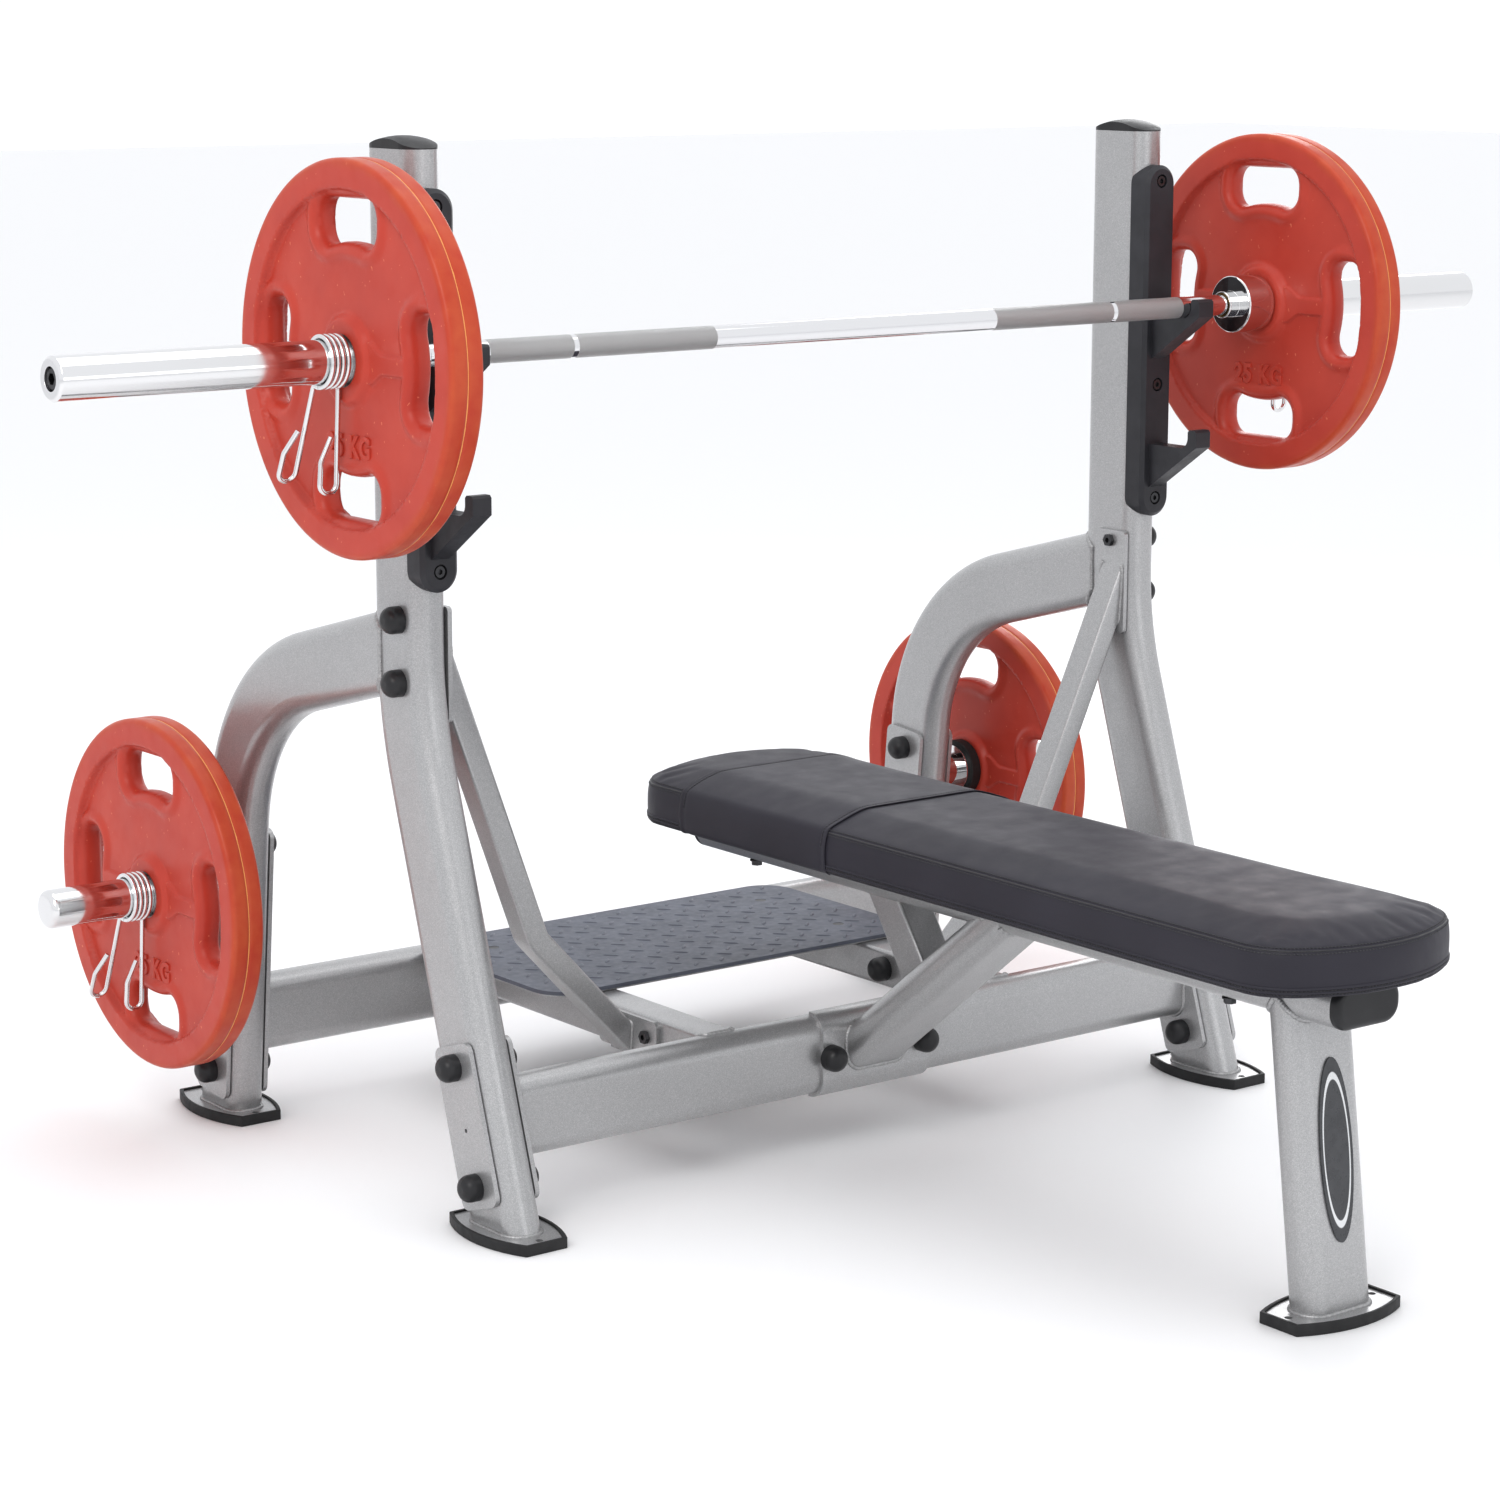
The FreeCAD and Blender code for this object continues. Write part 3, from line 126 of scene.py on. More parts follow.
# ---- materials ----------------------------------------------------------------------
class Shader:
    """A Principled material with short helpers for its pattern nodes."""

    def __init__(self, name, color, roughness, metallic=0.0, coat=0.0, coat_roughness=0.1):
        self.material = bpy.data.materials.new(name)
        self.material.use_nodes = True
        self.tree = self.material.node_tree
        self.bsdf = self.tree.nodes["Principled BSDF"]
        self.bsdf.inputs["Base Color"].default_value = (*color, 1)
        self.bsdf.inputs["Roughness"].default_value = roughness
        self.bsdf.inputs["Metallic"].default_value = metallic
        self.bsdf.inputs["Coat Weight"].default_value = coat
        self.bsdf.inputs["Coat Roughness"].default_value = coat_roughness
        self.coords = self.add("ShaderNodeTexCoord").outputs["Object"]
        self.normal = None

    def add(self, kind, **settings):
        node = self.tree.nodes.new(kind)
        for key, value in settings.items():
            setattr(node, key, value)
        return node

    def join(self, source, target):
        self.tree.links.new(source, target)

    def place(self, shift=(0, 0, 0), scale=(1, 1, 1)):
        """Object coordinates moved and stretched."""
        node = self.add("ShaderNodeMapping")
        node.inputs["Location"].default_value = shift
        node.inputs["Scale"].default_value = scale
        self.join(self.coords, node.inputs["Vector"])
        return node.outputs["Vector"]

    def noise(self, scale, detail=3.0, stretch=(1, 1, 1)):
        node = self.add("ShaderNodeTexNoise")
        node.inputs["Scale"].default_value = scale
        node.inputs["Detail"].default_value = detail
        self.join(self.place(scale=stretch), node.inputs["Vector"])
        return node.outputs["Fac"]

    def cells(self, scale, output="Distance", feature="F1"):
        node = self.add("ShaderNodeTexVoronoi", feature=feature)
        node.inputs["Scale"].default_value = scale
        self.join(self.coords, node.inputs["Vector"])
        return node.outputs[output]

    def math(self, operation, first, second=0.5):
        node = self.add("ShaderNodeMath", operation=operation)
        for socket, value in zip(node.inputs, (first, second)):
            if isinstance(value, (int, float)):
                socket.default_value = value
            else:
                self.join(value, socket)
        return node.outputs[0]

    def axis(self, name):
        """One object coordinate, in metres."""
        node = self.add("ShaderNodeSeparateXYZ")
        self.join(self.coords, node.inputs[0])
        return node.outputs[name]

    def ramp(self, value, *stops):
        """Colours or greys at the given positions of value."""
        node = self.add("ShaderNodeValToRGB")
        elements = node.color_ramp.elements
        while len(elements) < len(stops):
            elements.new(0.5)
        for element, (position, color) in zip(elements, stops):
            element.position = position
            grey = isinstance(color, (int, float))
            element.color = (color, color, color, 1) if grey else (*color, 1)
        self.join(value, node.inputs[0])
        return node.outputs[0]

    def mix(self, factor, first, second, blend="MIX"):
        node = self.add("ShaderNodeMix", data_type="RGBA", blend_type=blend)
        slots = (node.inputs[0], node.inputs[6], node.inputs[7])
        for socket, value in zip(slots, (factor, first, second)):
            if isinstance(value, tuple):
                socket.default_value = (*value, 1)
            elif isinstance(value, (int, float)):
                socket.default_value = value
            else:
                self.join(value, socket)
        return node.outputs[2]

    def color(self, value):
        self.join(value, self.bsdf.inputs["Base Color"])

    def rough(self, value, low, high):
        self.join(self.ramp(value, (0.3, low), (0.7, high)), self.bsdf.inputs["Roughness"])

    def bump(self, height, strength, distance):
        node = self.add("ShaderNodeBump")
        node.inputs["Strength"].default_value = strength
        node.inputs["Distance"].default_value = distance
        self.join(height, node.inputs["Height"])
        if self.normal:
            self.join(self.normal, node.inputs["Normal"])
        self.normal = node.outputs["Normal"]
        self.join(self.normal, self.bsdf.inputs["Normal"])


def silver_paint():
    """Metallic powder coat: fine flakes, slight orange peel."""
    shade = Shader("silver_paint", (0.50, 0.50, 0.50), 0.34, 0.62, 0.35, 0.16)
    flakes = shade.cells(1500.0, "Color")
    tone = shade.ramp(flakes, (0.0, (0.37, 0.37, 0.375)), (0.55, (0.46, 0.46, 0.465)),
                      (1.0, (0.60, 0.60, 0.60)))
    cloud = shade.ramp(shade.noise(3.0), (0.35, 0.94), (0.65, 1.0))
    shade.color(shade.mix(1.0, tone, cloud, "MULTIPLY"))
    shade.rough(shade.noise(40.0), 0.30, 0.38)
    shade.bump(shade.noise(420.0, 1), 0.16, 0.0002)
    shade.bump(flakes, 0.05, 0.0001)
    return shade.material


def weld_paint():
    """The same paint where it lies thick over a weld bead."""
    shade = Shader("weld_paint", (0.46, 0.46, 0.465), 0.36, 0.55, 0.3, 0.2)
    shade.color(shade.ramp(shade.noise(260.0), (0.3, (0.34, 0.34, 0.345)),
                           (0.7, (0.49, 0.49, 0.49))))
    shade.rough(shade.noise(150.0), 0.28, 0.48)
    shade.bump(shade.noise(700.0), 0.3, 0.0004)
    return shade.material


def moulded_plastic(name, color, roughness, grain=2200.0):
    shade = Shader(name, color, roughness)
    lighter = tuple(c * 1.35 + 0.004 for c in color)
    shade.color(shade.ramp(shade.noise(25.0), (0.3, color), (0.75, lighter)))
    shade.rough(shade.noise(60.0), roughness - 0.06, roughness + 0.08)
    shade.bump(shade.cells(grain), 0.12, 0.0003)
    shade.bump(shade.noise(300.0), 0.06, 0.0004)
    return shade.material


def rubber(name, color, roughness):
    shade = Shader(name, color, roughness)
    dusty = tuple(c * 1.3 + 0.012 for c in color)
    shade.color(shade.ramp(shade.noise(18.0, 5), (0.35, color), (0.8, dusty)))
    shade.rough(shade.noise(90.0), roughness - 0.08, roughness + 0.08)
    shade.bump(shade.noise(900.0), 0.25, 0.0003)
    return shade.material


def plate_rubber():
    """Red moulded rubber, more orange and scuffed on the tread, pale along its parting line."""
    shade = Shader("plate_rubber", (0.50, 0.045, 0.024), 0.38, 0.0, 0.12, 0.3)
    shade.bsdf.inputs["Specular IOR Level"].default_value = 0.35
    y = shade.axis("Y")
    z = shade.axis("Z")
    radius = shade.math("SQRT", shade.math("ADD", shade.math("MULTIPLY", y, y),
                                           shade.math("MULTIPLY", z, z)))
    face = shade.ramp(shade.noise(14.0, 4), (0.3, (0.47, 0.056, 0.036)),
                      (0.7, (0.53, 0.072, 0.045)))
    worn = shade.ramp(shade.noise(30.0, 5), (0.35, (0.46, 0.054, 0.022)),
                      (0.75, (0.52, 0.100, 0.036)))
    edge = shade.math("ADD", radius, shade.math("MULTIPLY", shade.noise(22.0, 3), 0.012))
    at_rim = shade.ramp(edge, (0.219, 0.0), (0.231, 1.0))
    nick = shade.math("GREATER_THAN", shade.noise(200.0, 0), 0.83)
    specks = shade.mix(nick, face, (0.62, 0.17, 0.10))
    skin = shade.mix(at_rim, specks, worn)
    off_middle = shade.math("ABSOLUTE", shade.axis("X"))
    wander = shade.math("MULTIPLY", shade.noise(60.0, 3), 0.0012)
    parting = shade.math("MULTIPLY",
                         shade.math("LESS_THAN", shade.math("ADD", off_middle, wander), 0.00125),
                         shade.math("GREATER_THAN", radius, 0.222))
    shade.color(shade.mix(parting, skin, (0.74, 0.36, 0.12)))
    shade.rough(shade.noise(45.0, 4), 0.30, 0.46)
    shade.bump(shade.noise(600.0), 0.04, 0.0003)
    shade.bump(shade.noise(35.0), 0.08, 0.002)
    return shade.material


def chrome(name, roughness, tone=0.80):
    shade = Shader(name, (tone, tone, tone * 1.01), roughness, 1.0)
    shade.color(shade.ramp(shade.noise(6.0, 4, (0.3, 1, 1)), (0.3, (tone * 0.93,) * 3),
                           (0.7, (tone, tone, tone * 1.01))))
    shade.rough(shade.noise(30.0, 5), roughness * 0.7, roughness * 1.5)
    shade.bump(shade.noise(1400.0, 1, (0.08, 1, 1)), 0.03, 0.0001)
    return shade.material


KNURL_OUTER = 0.548
KNURL_INNER = 0.222
RING_PLACE = 0.427
RING_HALF = 0.0035


def knurled_bar():
    """Chrome shaft whose grip zones are cut with two crossing sets of helical grooves."""
    shade = Shader("bar_chrome", (0.75, 0.75, 0.76), 0.14, 1.0)
    middle = centre("bar_shaft")
    x = shade.axis("X")
    y = shade.math("SUBTRACT", shade.axis("Y"), middle.y)
    z = shade.math("SUBTRACT", shade.axis("Z"), middle.z)
    angle = shade.math("ARCTAN2", y, z)
    starts = 38.0
    along = shade.math("MULTIPLY", x, starts / 0.014)
    around = shade.math("MULTIPLY", angle, starts)
    first = shade.math("SINE", shade.math("ADD", along, around))
    second = shade.math("SINE", shade.math("SUBTRACT", along, around))
    knurl = shade.math("MULTIPLY", shade.math("ABSOLUTE", first),
                       shade.math("ABSOLUTE", second))
    reach = shade.math("ABSOLUTE", x)
    inside = shade.math("MULTIPLY", shade.math("GREATER_THAN", reach, KNURL_INNER),
                        shade.math("LESS_THAN", reach, KNURL_OUTER))
    off_ring = shade.math("GREATER_THAN", shade.math(
        "ABSOLUTE", shade.math("SUBTRACT", reach, RING_PLACE)), RING_HALF)
    zone = shade.math("MULTIPLY", inside, off_ring)
    cut = shade.math("MULTIPLY", knurl, zone)
    # Painted shade: the knurled zone's colour is darker than the smooth chrome and darkest in
    # the groove bottoms, following the groove depth.
    shade.color(shade.mix(zone, (0.78, 0.78, 0.79), shade.ramp(
        knurl, (0.05, (0.30, 0.30, 0.30)), (0.5, (0.62, 0.62, 0.62)))))
    shade.join(shade.math("ADD", shade.math("MULTIPLY", zone, 0.24), 0.09),
               shade.bsdf.inputs["Roughness"])
    shade.bump(cut, 0.8, 0.0005)
    return shade.material


def brushed(name, color, roughness):
    shade = Shader(name, color, roughness, 1.0)
    dark = tuple(c * 0.8 for c in color)
    shade.color(shade.ramp(shade.noise(50.0, 4, (0.1, 1, 1)), (0.3, dark), (0.7, color)))
    shade.rough(shade.noise(300.0, 3, (0.05, 1, 1)), roughness - 0.06, roughness + 0.08)
    shade.bump(shade.noise(900.0, 2, (0.05, 1, 1)), 0.1, 0.0001)
    return shade.material


def vinyl():
    """Soft upholstery vinyl: fine pebble grain, faint stretch lines, charcoal."""
    shade = Shader("pad_vinyl", (0.034, 0.032, 0.043), 0.46)
    shade.bsdf.inputs["Specular IOR Level"].default_value = 0.36
    shade.bsdf.inputs["Sheen Weight"].default_value = 0.04
    shade.bsdf.inputs["Sheen Roughness"].default_value = 0.45
    cloud = shade.noise(7.0, 5)
    shade.color(shade.ramp(cloud, (0.3, (0.030, 0.028, 0.038)), (0.72, (0.040, 0.038, 0.051))))
    shade.rough(shade.noise(28.0, 5), 0.42, 0.55)
    pebble = shade.cells(1150.0, "Distance")
    shade.bump(pebble, 0.22, 0.0005)
    shade.bump(shade.noise(170.0, 4, (1, 0.4, 1)), 0.12, 0.0008)
    return shade.material


# Near-black thread for the real stitches; the same material also colours the sunk seam cord,
# which is painted shade of the seam's crease.
def thread_and_seam_shade():
    shade = Shader("thread_and_seam_shade", (0.012, 0.012, 0.014), 0.6)
    shade.bsdf.inputs["Sheen Weight"].default_value = 0.4
    shade.color(shade.ramp(shade.noise(900.0), (0.3, (0.008, 0.008, 0.01)),
                           (0.7, (0.03, 0.03, 0.034))))
    shade.bump(shade.noise(3000.0, 1), 0.4, 0.0002)
    return shade.material


def plywood():
    shade = Shader("board_wood", (0.09, 0.075, 0.06), 0.7)
    shade.color(shade.ramp(shade.noise(9.0, 6, (6, 0.5, 6)), (0.3, (0.06, 0.05, 0.04)),
                           (0.7, (0.13, 0.10, 0.075))))
    shade.bump(shade.noise(60.0, 4, (6, 0.3, 6)), 0.3, 0.0005)
    return shade.material


PAINT = silver_paint()
WELD = weld_paint()
CAP_BLACK = moulded_plastic("black_cap", (0.018, 0.018, 0.020), 0.36)
HOOK_BLACK = moulded_plastic("hook_plastic", (0.026, 0.026, 0.031), 0.46)
BOOT = rubber("boot_rubber", (0.016, 0.016, 0.017), 0.55)
TREAD = rubber("tread_rubber", (0.115, 0.125, 0.155), 0.50)
RED = plate_rubber()
CHROME = chrome("sleeve_chrome", 0.07)
SPRING = chrome("spring_chrome", 0.10, 0.78)
BAR = knurled_bar()
RING_STEEL = brushed("ring_steel", (0.55, 0.55, 0.56), 0.30)
BRONZE = brushed("bush_bronze", (0.50, 0.33, 0.15), 0.35)
BOLT = brushed("bolt_steel", (0.10, 0.10, 0.105), 0.38)
NUT = brushed("nut_steel", (0.56, 0.56, 0.57), 0.28)
IRON = brushed("core_iron", (0.12, 0.12, 0.12), 0.6)
VINYL = vinyl()
THREAD_AND_SEAM_SHADE = thread_and_seam_shade()
PLYWOOD = plywood()


# ---- mesh helpers -------------------------------------------------------------------
def new_piece(name, points, faces, material, body, smooth=True):
    data = bpy.data.meshes.new(name)
    data.from_pydata([tuple(p) for p in points], [], faces)
    data.update()
    for polygon in data.polygons:
        polygon.use_smooth = smooth
    data.materials.append(material)
    piece = bpy.data.objects.new(name, data)
    SCENE.collection.objects.link(piece)
    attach(piece, body)
    return piece


def grid_faces(rows, columns, wrap_rows=False, wrap_columns=False, first=0):
    faces = []
    for i in range(rows if wrap_rows else rows - 1):
        for j in range(columns if wrap_columns else columns - 1):
            a = first + i * columns + j
            b = first + i * columns + (j + 1) % columns
            c = first + ((i + 1) % rows) * columns + (j + 1) % columns
            d = first + ((i + 1) % rows) * columns + j
            faces.append((a, b, c, d))
    return faces


def resample(path, step, closed):
    """Evenly spaced points along a polyline."""
    points = list(path) + ([path[0]] if closed else [])
    lengths = [0.0]
    for a, b in zip(points, points[1:]):
        lengths.append(lengths[-1] + (b - a).length)
    count = max(2, round(lengths[-1] / step))
    result = []
    index = 0
    for k in range(count if closed else count + 1):
        goal = lengths[-1] * k / count
        while index < len(points) - 2 and lengths[index + 1] < goal:
            index += 1
        span = lengths[index + 1] - lengths[index]
        share = (goal - lengths[index]) / span if span else 0.0
        result.append(points[index].lerp(points[index + 1], share))
    return result


def swept_tube(path, radius, closed, sides=8):
    """Points and faces of a round tube; radius is a number or a function of the index."""
    count = len(path)
    points = []
    across = None
    for i, point in enumerate(path):
        before = path[i - 1] if i or closed else point
        after = path[(i + 1) % count] if i < count - 1 or closed else point
        along = (after - before).normalized()
        if across is None:
            across = along.orthogonal().normalized()
        across = (across - along * across.dot(along)).normalized()
        other = along.cross(across)
        size = radius(i) if callable(radius) else radius
        for k in range(sides):
            turn = 2 * math.pi * k / sides
            points.append(point + (across * math.cos(turn) + other * math.sin(turn)) * size)
    faces = grid_faces(count, sides, wrap_rows=closed, wrap_columns=True)
    if not closed:
        faces.append(tuple(reversed(range(sides))))
        faces.append(tuple(range((count - 1) * sides, count * sides)))
    return points, faces


def merged_mesh(node):
    """A CAD node's mesh with its doubled points joined."""
    mesh = bmesh.new()
    mesh.from_mesh(NODES[node].data)
    bmesh.ops.remove_doubles(mesh, verts=mesh.verts, dist=2e-6)
    return mesh


def dress(node, material, bevel=0.0, segments=2):
    """Give a CAD node its material; bevel softens its sharp edges."""
    piece = NODES[node]
    piece.data.materials.clear()
    piece.data.materials.append(material)
    for polygon in piece.data.polygons:
        polygon.material_index = 0
    if not bevel:
        return
    if "custom_normal" in piece.data.attributes:
        piece.data.attributes.remove(piece.data.attributes["custom_normal"])
    for polygon in piece.data.polygons:
        polygon.use_smooth = True
    weld = piece.modifiers.new("weld", "WELD")
    weld.merge_threshold = 2e-6
    soften = piece.modifiers.new("soften", "BEVEL")
    soften.width = bevel
    soften.segments = segments
    soften.limit_method = "ANGLE"
    soften.angle_limit = math.radians(28)
    soften.harden_normals = True


def paint_where(node, material, test):
    """Give the faces whose middle passes the test a material of their own."""
    piece = NODES[node]
    piece.data.materials.append(material)
    index = len(piece.data.materials) - 1
    for polygon in piece.data.polygons:
        if test(polygon.center):
            polygon.material_index = index


# ---- weld beads ---------------------------------------------------------------------
def chains(edges):
    """Join edges, given as pairs of points, into runs; returns (points, closed)."""
    def key(point):
        return tuple(round(c, 5) for c in point)

    neighbours = {}
    places = {}
    for a, b in edges:
        ka, kb = key(a), key(b)
        places[ka], places[kb] = a, b
        neighbours.setdefault(ka, set()).add(kb)
        neighbours.setdefault(kb, set()).add(ka)
    runs = []
    unused = {frozenset((key(a), key(b))) for a, b in edges if key(a) != key(b)}
    ends = sorted(k for k, others in neighbours.items() if len(others) != 2)
    for start in ends + sorted(neighbours):
        for other in sorted(neighbours[start]):
            link = frozenset((start, other))
            if link not in unused:
                continue
            run = [start, other]
            unused.discard(link)
            while len(neighbours[run[-1]]) == 2 and run[-1] != start:
                following = [k for k in neighbours[run[-1]]
                             if frozenset((run[-1], k)) in unused]
                if not following:
                    break
                unused.discard(frozenset((run[-1], following[0])))
                run.append(following[0])
            closed = run[0] == run[-1]
            points = [places[k] for k in (run[:-1] if closed else run)]
            runs.append((points, closed))
    return runs


def span(points):
    return (Vector(map(max, zip(*points))) - Vector(map(min, zip(*points)))).length


def outermost(runs, near=0.03):
    """Of the runs that lie round the same place, the largest."""
    kept = []
    for points, closed in sorted(runs, key=lambda run: -span(run[0])):
        middle = sum(points, Vector()) / len(points)
        if all((middle - other).length > near for other, _, _ in kept):
            kept.append((middle, points, closed))
    return [(points, closed) for _, points, closed in kept]


def inner_corners(node, test=lambda p: True):
    """Runs of a node's sharp inner corners: where its tubes and plates are welded."""
    mesh = merged_mesh(node)
    edges = []
    for edge in mesh.edges:
        if len(edge.link_faces) != 2:
            continue
        if edge.calc_face_angle_signed() < -math.radians(30):
            a, b = (v.co.copy() for v in edge.verts)
            if test((a + b) / 2):
                edges.append((a, b))
    mesh.free()
    return outermost(chains(edges))


def meeting_edges(node, other, reach=4e-4):
    """Runs of a node's sharp edges that lie on another node's surface."""
    mesh = merged_mesh(node)
    facing = merged_mesh(other)
    tree = BVHTree.FromBMesh(facing)
    edges = []
    for edge in mesh.edges:
        if len(edge.link_faces) != 2 or edge.calc_face_angle(0) < math.radians(25):
            continue
        a, b = (v.co.copy() for v in edge.verts)
        if all(tree.find_nearest(p, reach)[0] is not None for p in (a, b, (a + b) / 2)):
            edges.append((a, b))
    mesh.free()
    facing.free()
    return outermost(chains(edges))


def weld_beads(name, runs, body="frame", size=0.0030, seed=3):
    """Rippled beads along the given runs."""
    rng = random.Random(seed)
    points = []
    faces = []
    for run, closed in runs:
        if span(run) < 0.012:
            continue
        path = resample(run, 0.0011, closed)
        phase = rng.random() * 6.0
        swell = [rng.uniform(0.88, 1.12) for _ in range(len(path) // 9 + 2)]

        def radius(i):
            share = (i % 9) / 9.0
            local = swell[i // 9] * (1 - share) + swell[i // 9 + 1] * share
            return size * local * (1 + 0.11 * math.sin(i * 2.05 + phase))

        tube_points, tube_faces = swept_tube(path, radius, closed, 8)
        faces += [tuple(v + len(points) for v in face) for face in tube_faces]
        points += tube_points
    if points:
        new_piece(name, points, faces, WELD, body)


THICK_WELD = 0.0036


def add_welds():
    for side, _ in SIDES:
        for node in ("upright", "rear_leg"):
            name = "%s_%s" % (node, side)
            weld_beads("weld_foot_" + name, inner_corners(name, lambda p: p.z < 0.03))
        weld_beads("weld_arch_" + side,
                   meeting_edges("rear_leg_" + side, "upright_" + side), size=THICK_WELD)
        weld_beads("weld_brace_" + side, inner_corners("brace_" + side))
        weld_beads("weld_peg_" + side,
                   inner_corners("storage_peg_" + side, lambda p: abs(p.x) < 0.62))
    for bar in ("front_crossbar", "rear_crossbar"):
        weld_beads("weld_" + bar, inner_corners(bar))
        weld_beads("weld_rails_" + bar, meeting_edges("platform_rails", bar))
    weld_beads("weld_front_foot", inner_corners("front_leg"))
    weld_beads("weld_leg_top", meeting_edges("front_leg", "spine_tube"), size=THICK_WELD)
    weld_beads("weld_saddle", inner_corners("bench_strut"))
    weld_beads("weld_strut_top", meeting_edges("bench_strut", "spine_tube"), size=THICK_WELD)
    weld_beads("weld_post_top", meeting_edges("bench_post", "spine_tube"))
    weld_beads("weld_post_low", meeting_edges("bench_post", "bench_strut"))


# ---- the carried-over nodes ---------------------------------------------------------
STOP_DISC_THICKNESS = 0.0062


def dress_frame():
    for side, sign in SIDES:
        for node in ("upright", "rear_leg"):
            dress("%s_%s" % (node, side), PAINT)
        dress("brace_" + side, PAINT, 0.0008)
        dress("storage_peg_" + side, PAINT, 0.0006)
        inner = low_high("storage_peg_" + side)[0 if sign > 0 else 1].x
        plate_face = abs(inner) + STOP_DISC_THICKNESS
        paint_where("storage_peg_" + side, CHROME, lambda c: abs(c.x) > plate_face)
        dress("hook_strip_" + side, HOOK_BLACK, 0.0022, 3)
    for node in ("front_crossbar", "rear_crossbar", "side_plates", "platform_deck"):
        dress(node, PAINT, 0.0009)
    for node in ("platform_rails", "spine_tube", "front_leg", "bench_strut", "bench_post"):
        dress(node, PAINT)
    for node in ("upright_caps", "spine_caps", "bolt_caps"):
        dress(node, CAP_BLACK)
    dress("peg_end_caps", CHROME)
    dress("peg_bumpers", BOOT, 0.0015, 3)
    dress("foot_boots", BOOT, 0.0012, 3)
    dress("tread_mat", TREAD, 0.0010)
    dress("pad_board", PLYWOOD, 0.0010)
    for node in ("hook_nuts", "frame_nuts"):
        dress(node, NUT)
    for node in ("hook_screws", "frame_bolts", "pad_bolts", "platform_screws"):
        dress(node, BOLT, 0.0004)


def dress_barbell():
    dress("bar_shaft", BAR)
    dress("bar_bushings", BRONZE)
    dress("bar_end_bolts", BOLT)
    for side, _ in SIDES:
        dress("bar_sleeve_" + side, CHROME, 0.0006)
        for place in ("bar", "stored"):
            dress("%s_plate_ring_%s" % (place, side), RING_STEEL)
            dress("%s_plate_core_%s" % (place, side), IRON)
            for part in ("spring", "grip"):
                dress("%s_collar_%s_%s" % (place, part, side), SPRING)


# ---- weight plates ------------------------------------------------------------------
GRIP_CENTRE_Y = 0.040
GRIP_TOP_Z = 0.158
GRIP_CORNER = 0.022
GRIP_INNER = 0.132
GRIP_REACH = GRIP_INNER + GRIP_CORNER
GRIP_LOW_Z = math.sqrt(GRIP_REACH ** 2 - GRIP_CENTRE_Y ** 2)
GRIP_WALL = 0.0030
GRIP_ROUND = 0.012
LIP_FADE = 0.023
LIP_HALF = 0.0170
WEB_HALF = 0.0130
RIM_HALF = 0.0220
RIM_STEP = (0.1870, 0.1925)
HUB_STEP = (0.0440, 0.0560)
DISC_RADIUS = 0.225
DISC_FACE_RADIUS = 0.2185
RING_RADIUS = 0.030
SPOKE_RISE = 0.0042
FIGURE_DROP = 0.098


def smooth(low, high, value):
    share = min(1.0, max(0.0, (value - low) / (high - low)))
    return share * share * (3 - 2 * share)


def arc_points(middle, radius, start, end, count):
    points = []
    for k in range(count):
        turn = math.radians(start + (end - start) * k / count)
        points.append((middle[0] + radius * math.cos(turn), middle[1] + radius * math.sin(turn)))
    return points


def grip_loop(grow, fine=10):
    """Outline of the top hand hole, moved outward by grow."""
    corner = GRIP_CORNER + grow
    lean = math.degrees(math.asin(GRIP_CENTRE_Y / GRIP_REACH))
    points = arc_points((GRIP_CENTRE_Y, GRIP_TOP_Z), corner, 0, 90, fine)
    side = 2 * GRIP_CENTRE_Y
    steps = 2 * fine
    top = GRIP_TOP_Z + corner
    points += [(GRIP_CENTRE_Y - side * k / steps, top) for k in range(steps)]
    points += arc_points((-GRIP_CENTRE_Y, GRIP_TOP_Z), corner, 90, 180, fine)
    points += arc_points((-GRIP_CENTRE_Y, GRIP_LOW_Z), corner, 180, 270 + lean, fine + 4)
    points += arc_points((0, 0), GRIP_INNER - grow, 90 + lean, 90 - lean, steps)
    points += arc_points((GRIP_CENTRE_Y, GRIP_LOW_Z), corner, 270 - lean, 360, fine + 4)
    return points


def quarter_turned(points, quarter):
    cos, sin = ((1, 0), (0, 1), (-1, 0), (0, -1))[quarter]
    return [(y * cos - z * sin, y * sin + z * cos) for y, z in points]


def grip_distance(y, z):
    """Distance outside the nearest hand hole's edge; negative inside it."""
    if abs(y) > abs(z):
        y, z = z, y
    y, z = abs(y), abs(z)
    radius = math.hypot(y, z)
    angle_limit = math.atan2(GRIP_CENTRE_Y, GRIP_LOW_Z)
    if y <= GRIP_CENTRE_Y and z >= GRIP_TOP_Z:
        return z - (GRIP_TOP_Z + GRIP_CORNER)
    if y > GRIP_CENTRE_Y and z >= GRIP_TOP_Z:
        return math.hypot(y - GRIP_CENTRE_Y, z - GRIP_TOP_Z) - GRIP_CORNER
    if math.atan2(y, z) <= angle_limit:
        return GRIP_INNER - radius if radius < GRIP_REACH else -GRIP_CORNER
    if z < GRIP_LOW_Z:
        return math.hypot(y - GRIP_CENTRE_Y, z - GRIP_LOW_Z) - GRIP_CORNER
    return y - GRIP_CENTRE_Y - GRIP_CORNER


def spoke_half_width(y):
    """Half width of a spoke at distance y from the plate's axis; it flares at the hub."""
    return 0.011 + 0.013 * (1 - smooth(0.048, 0.078, abs(y)))


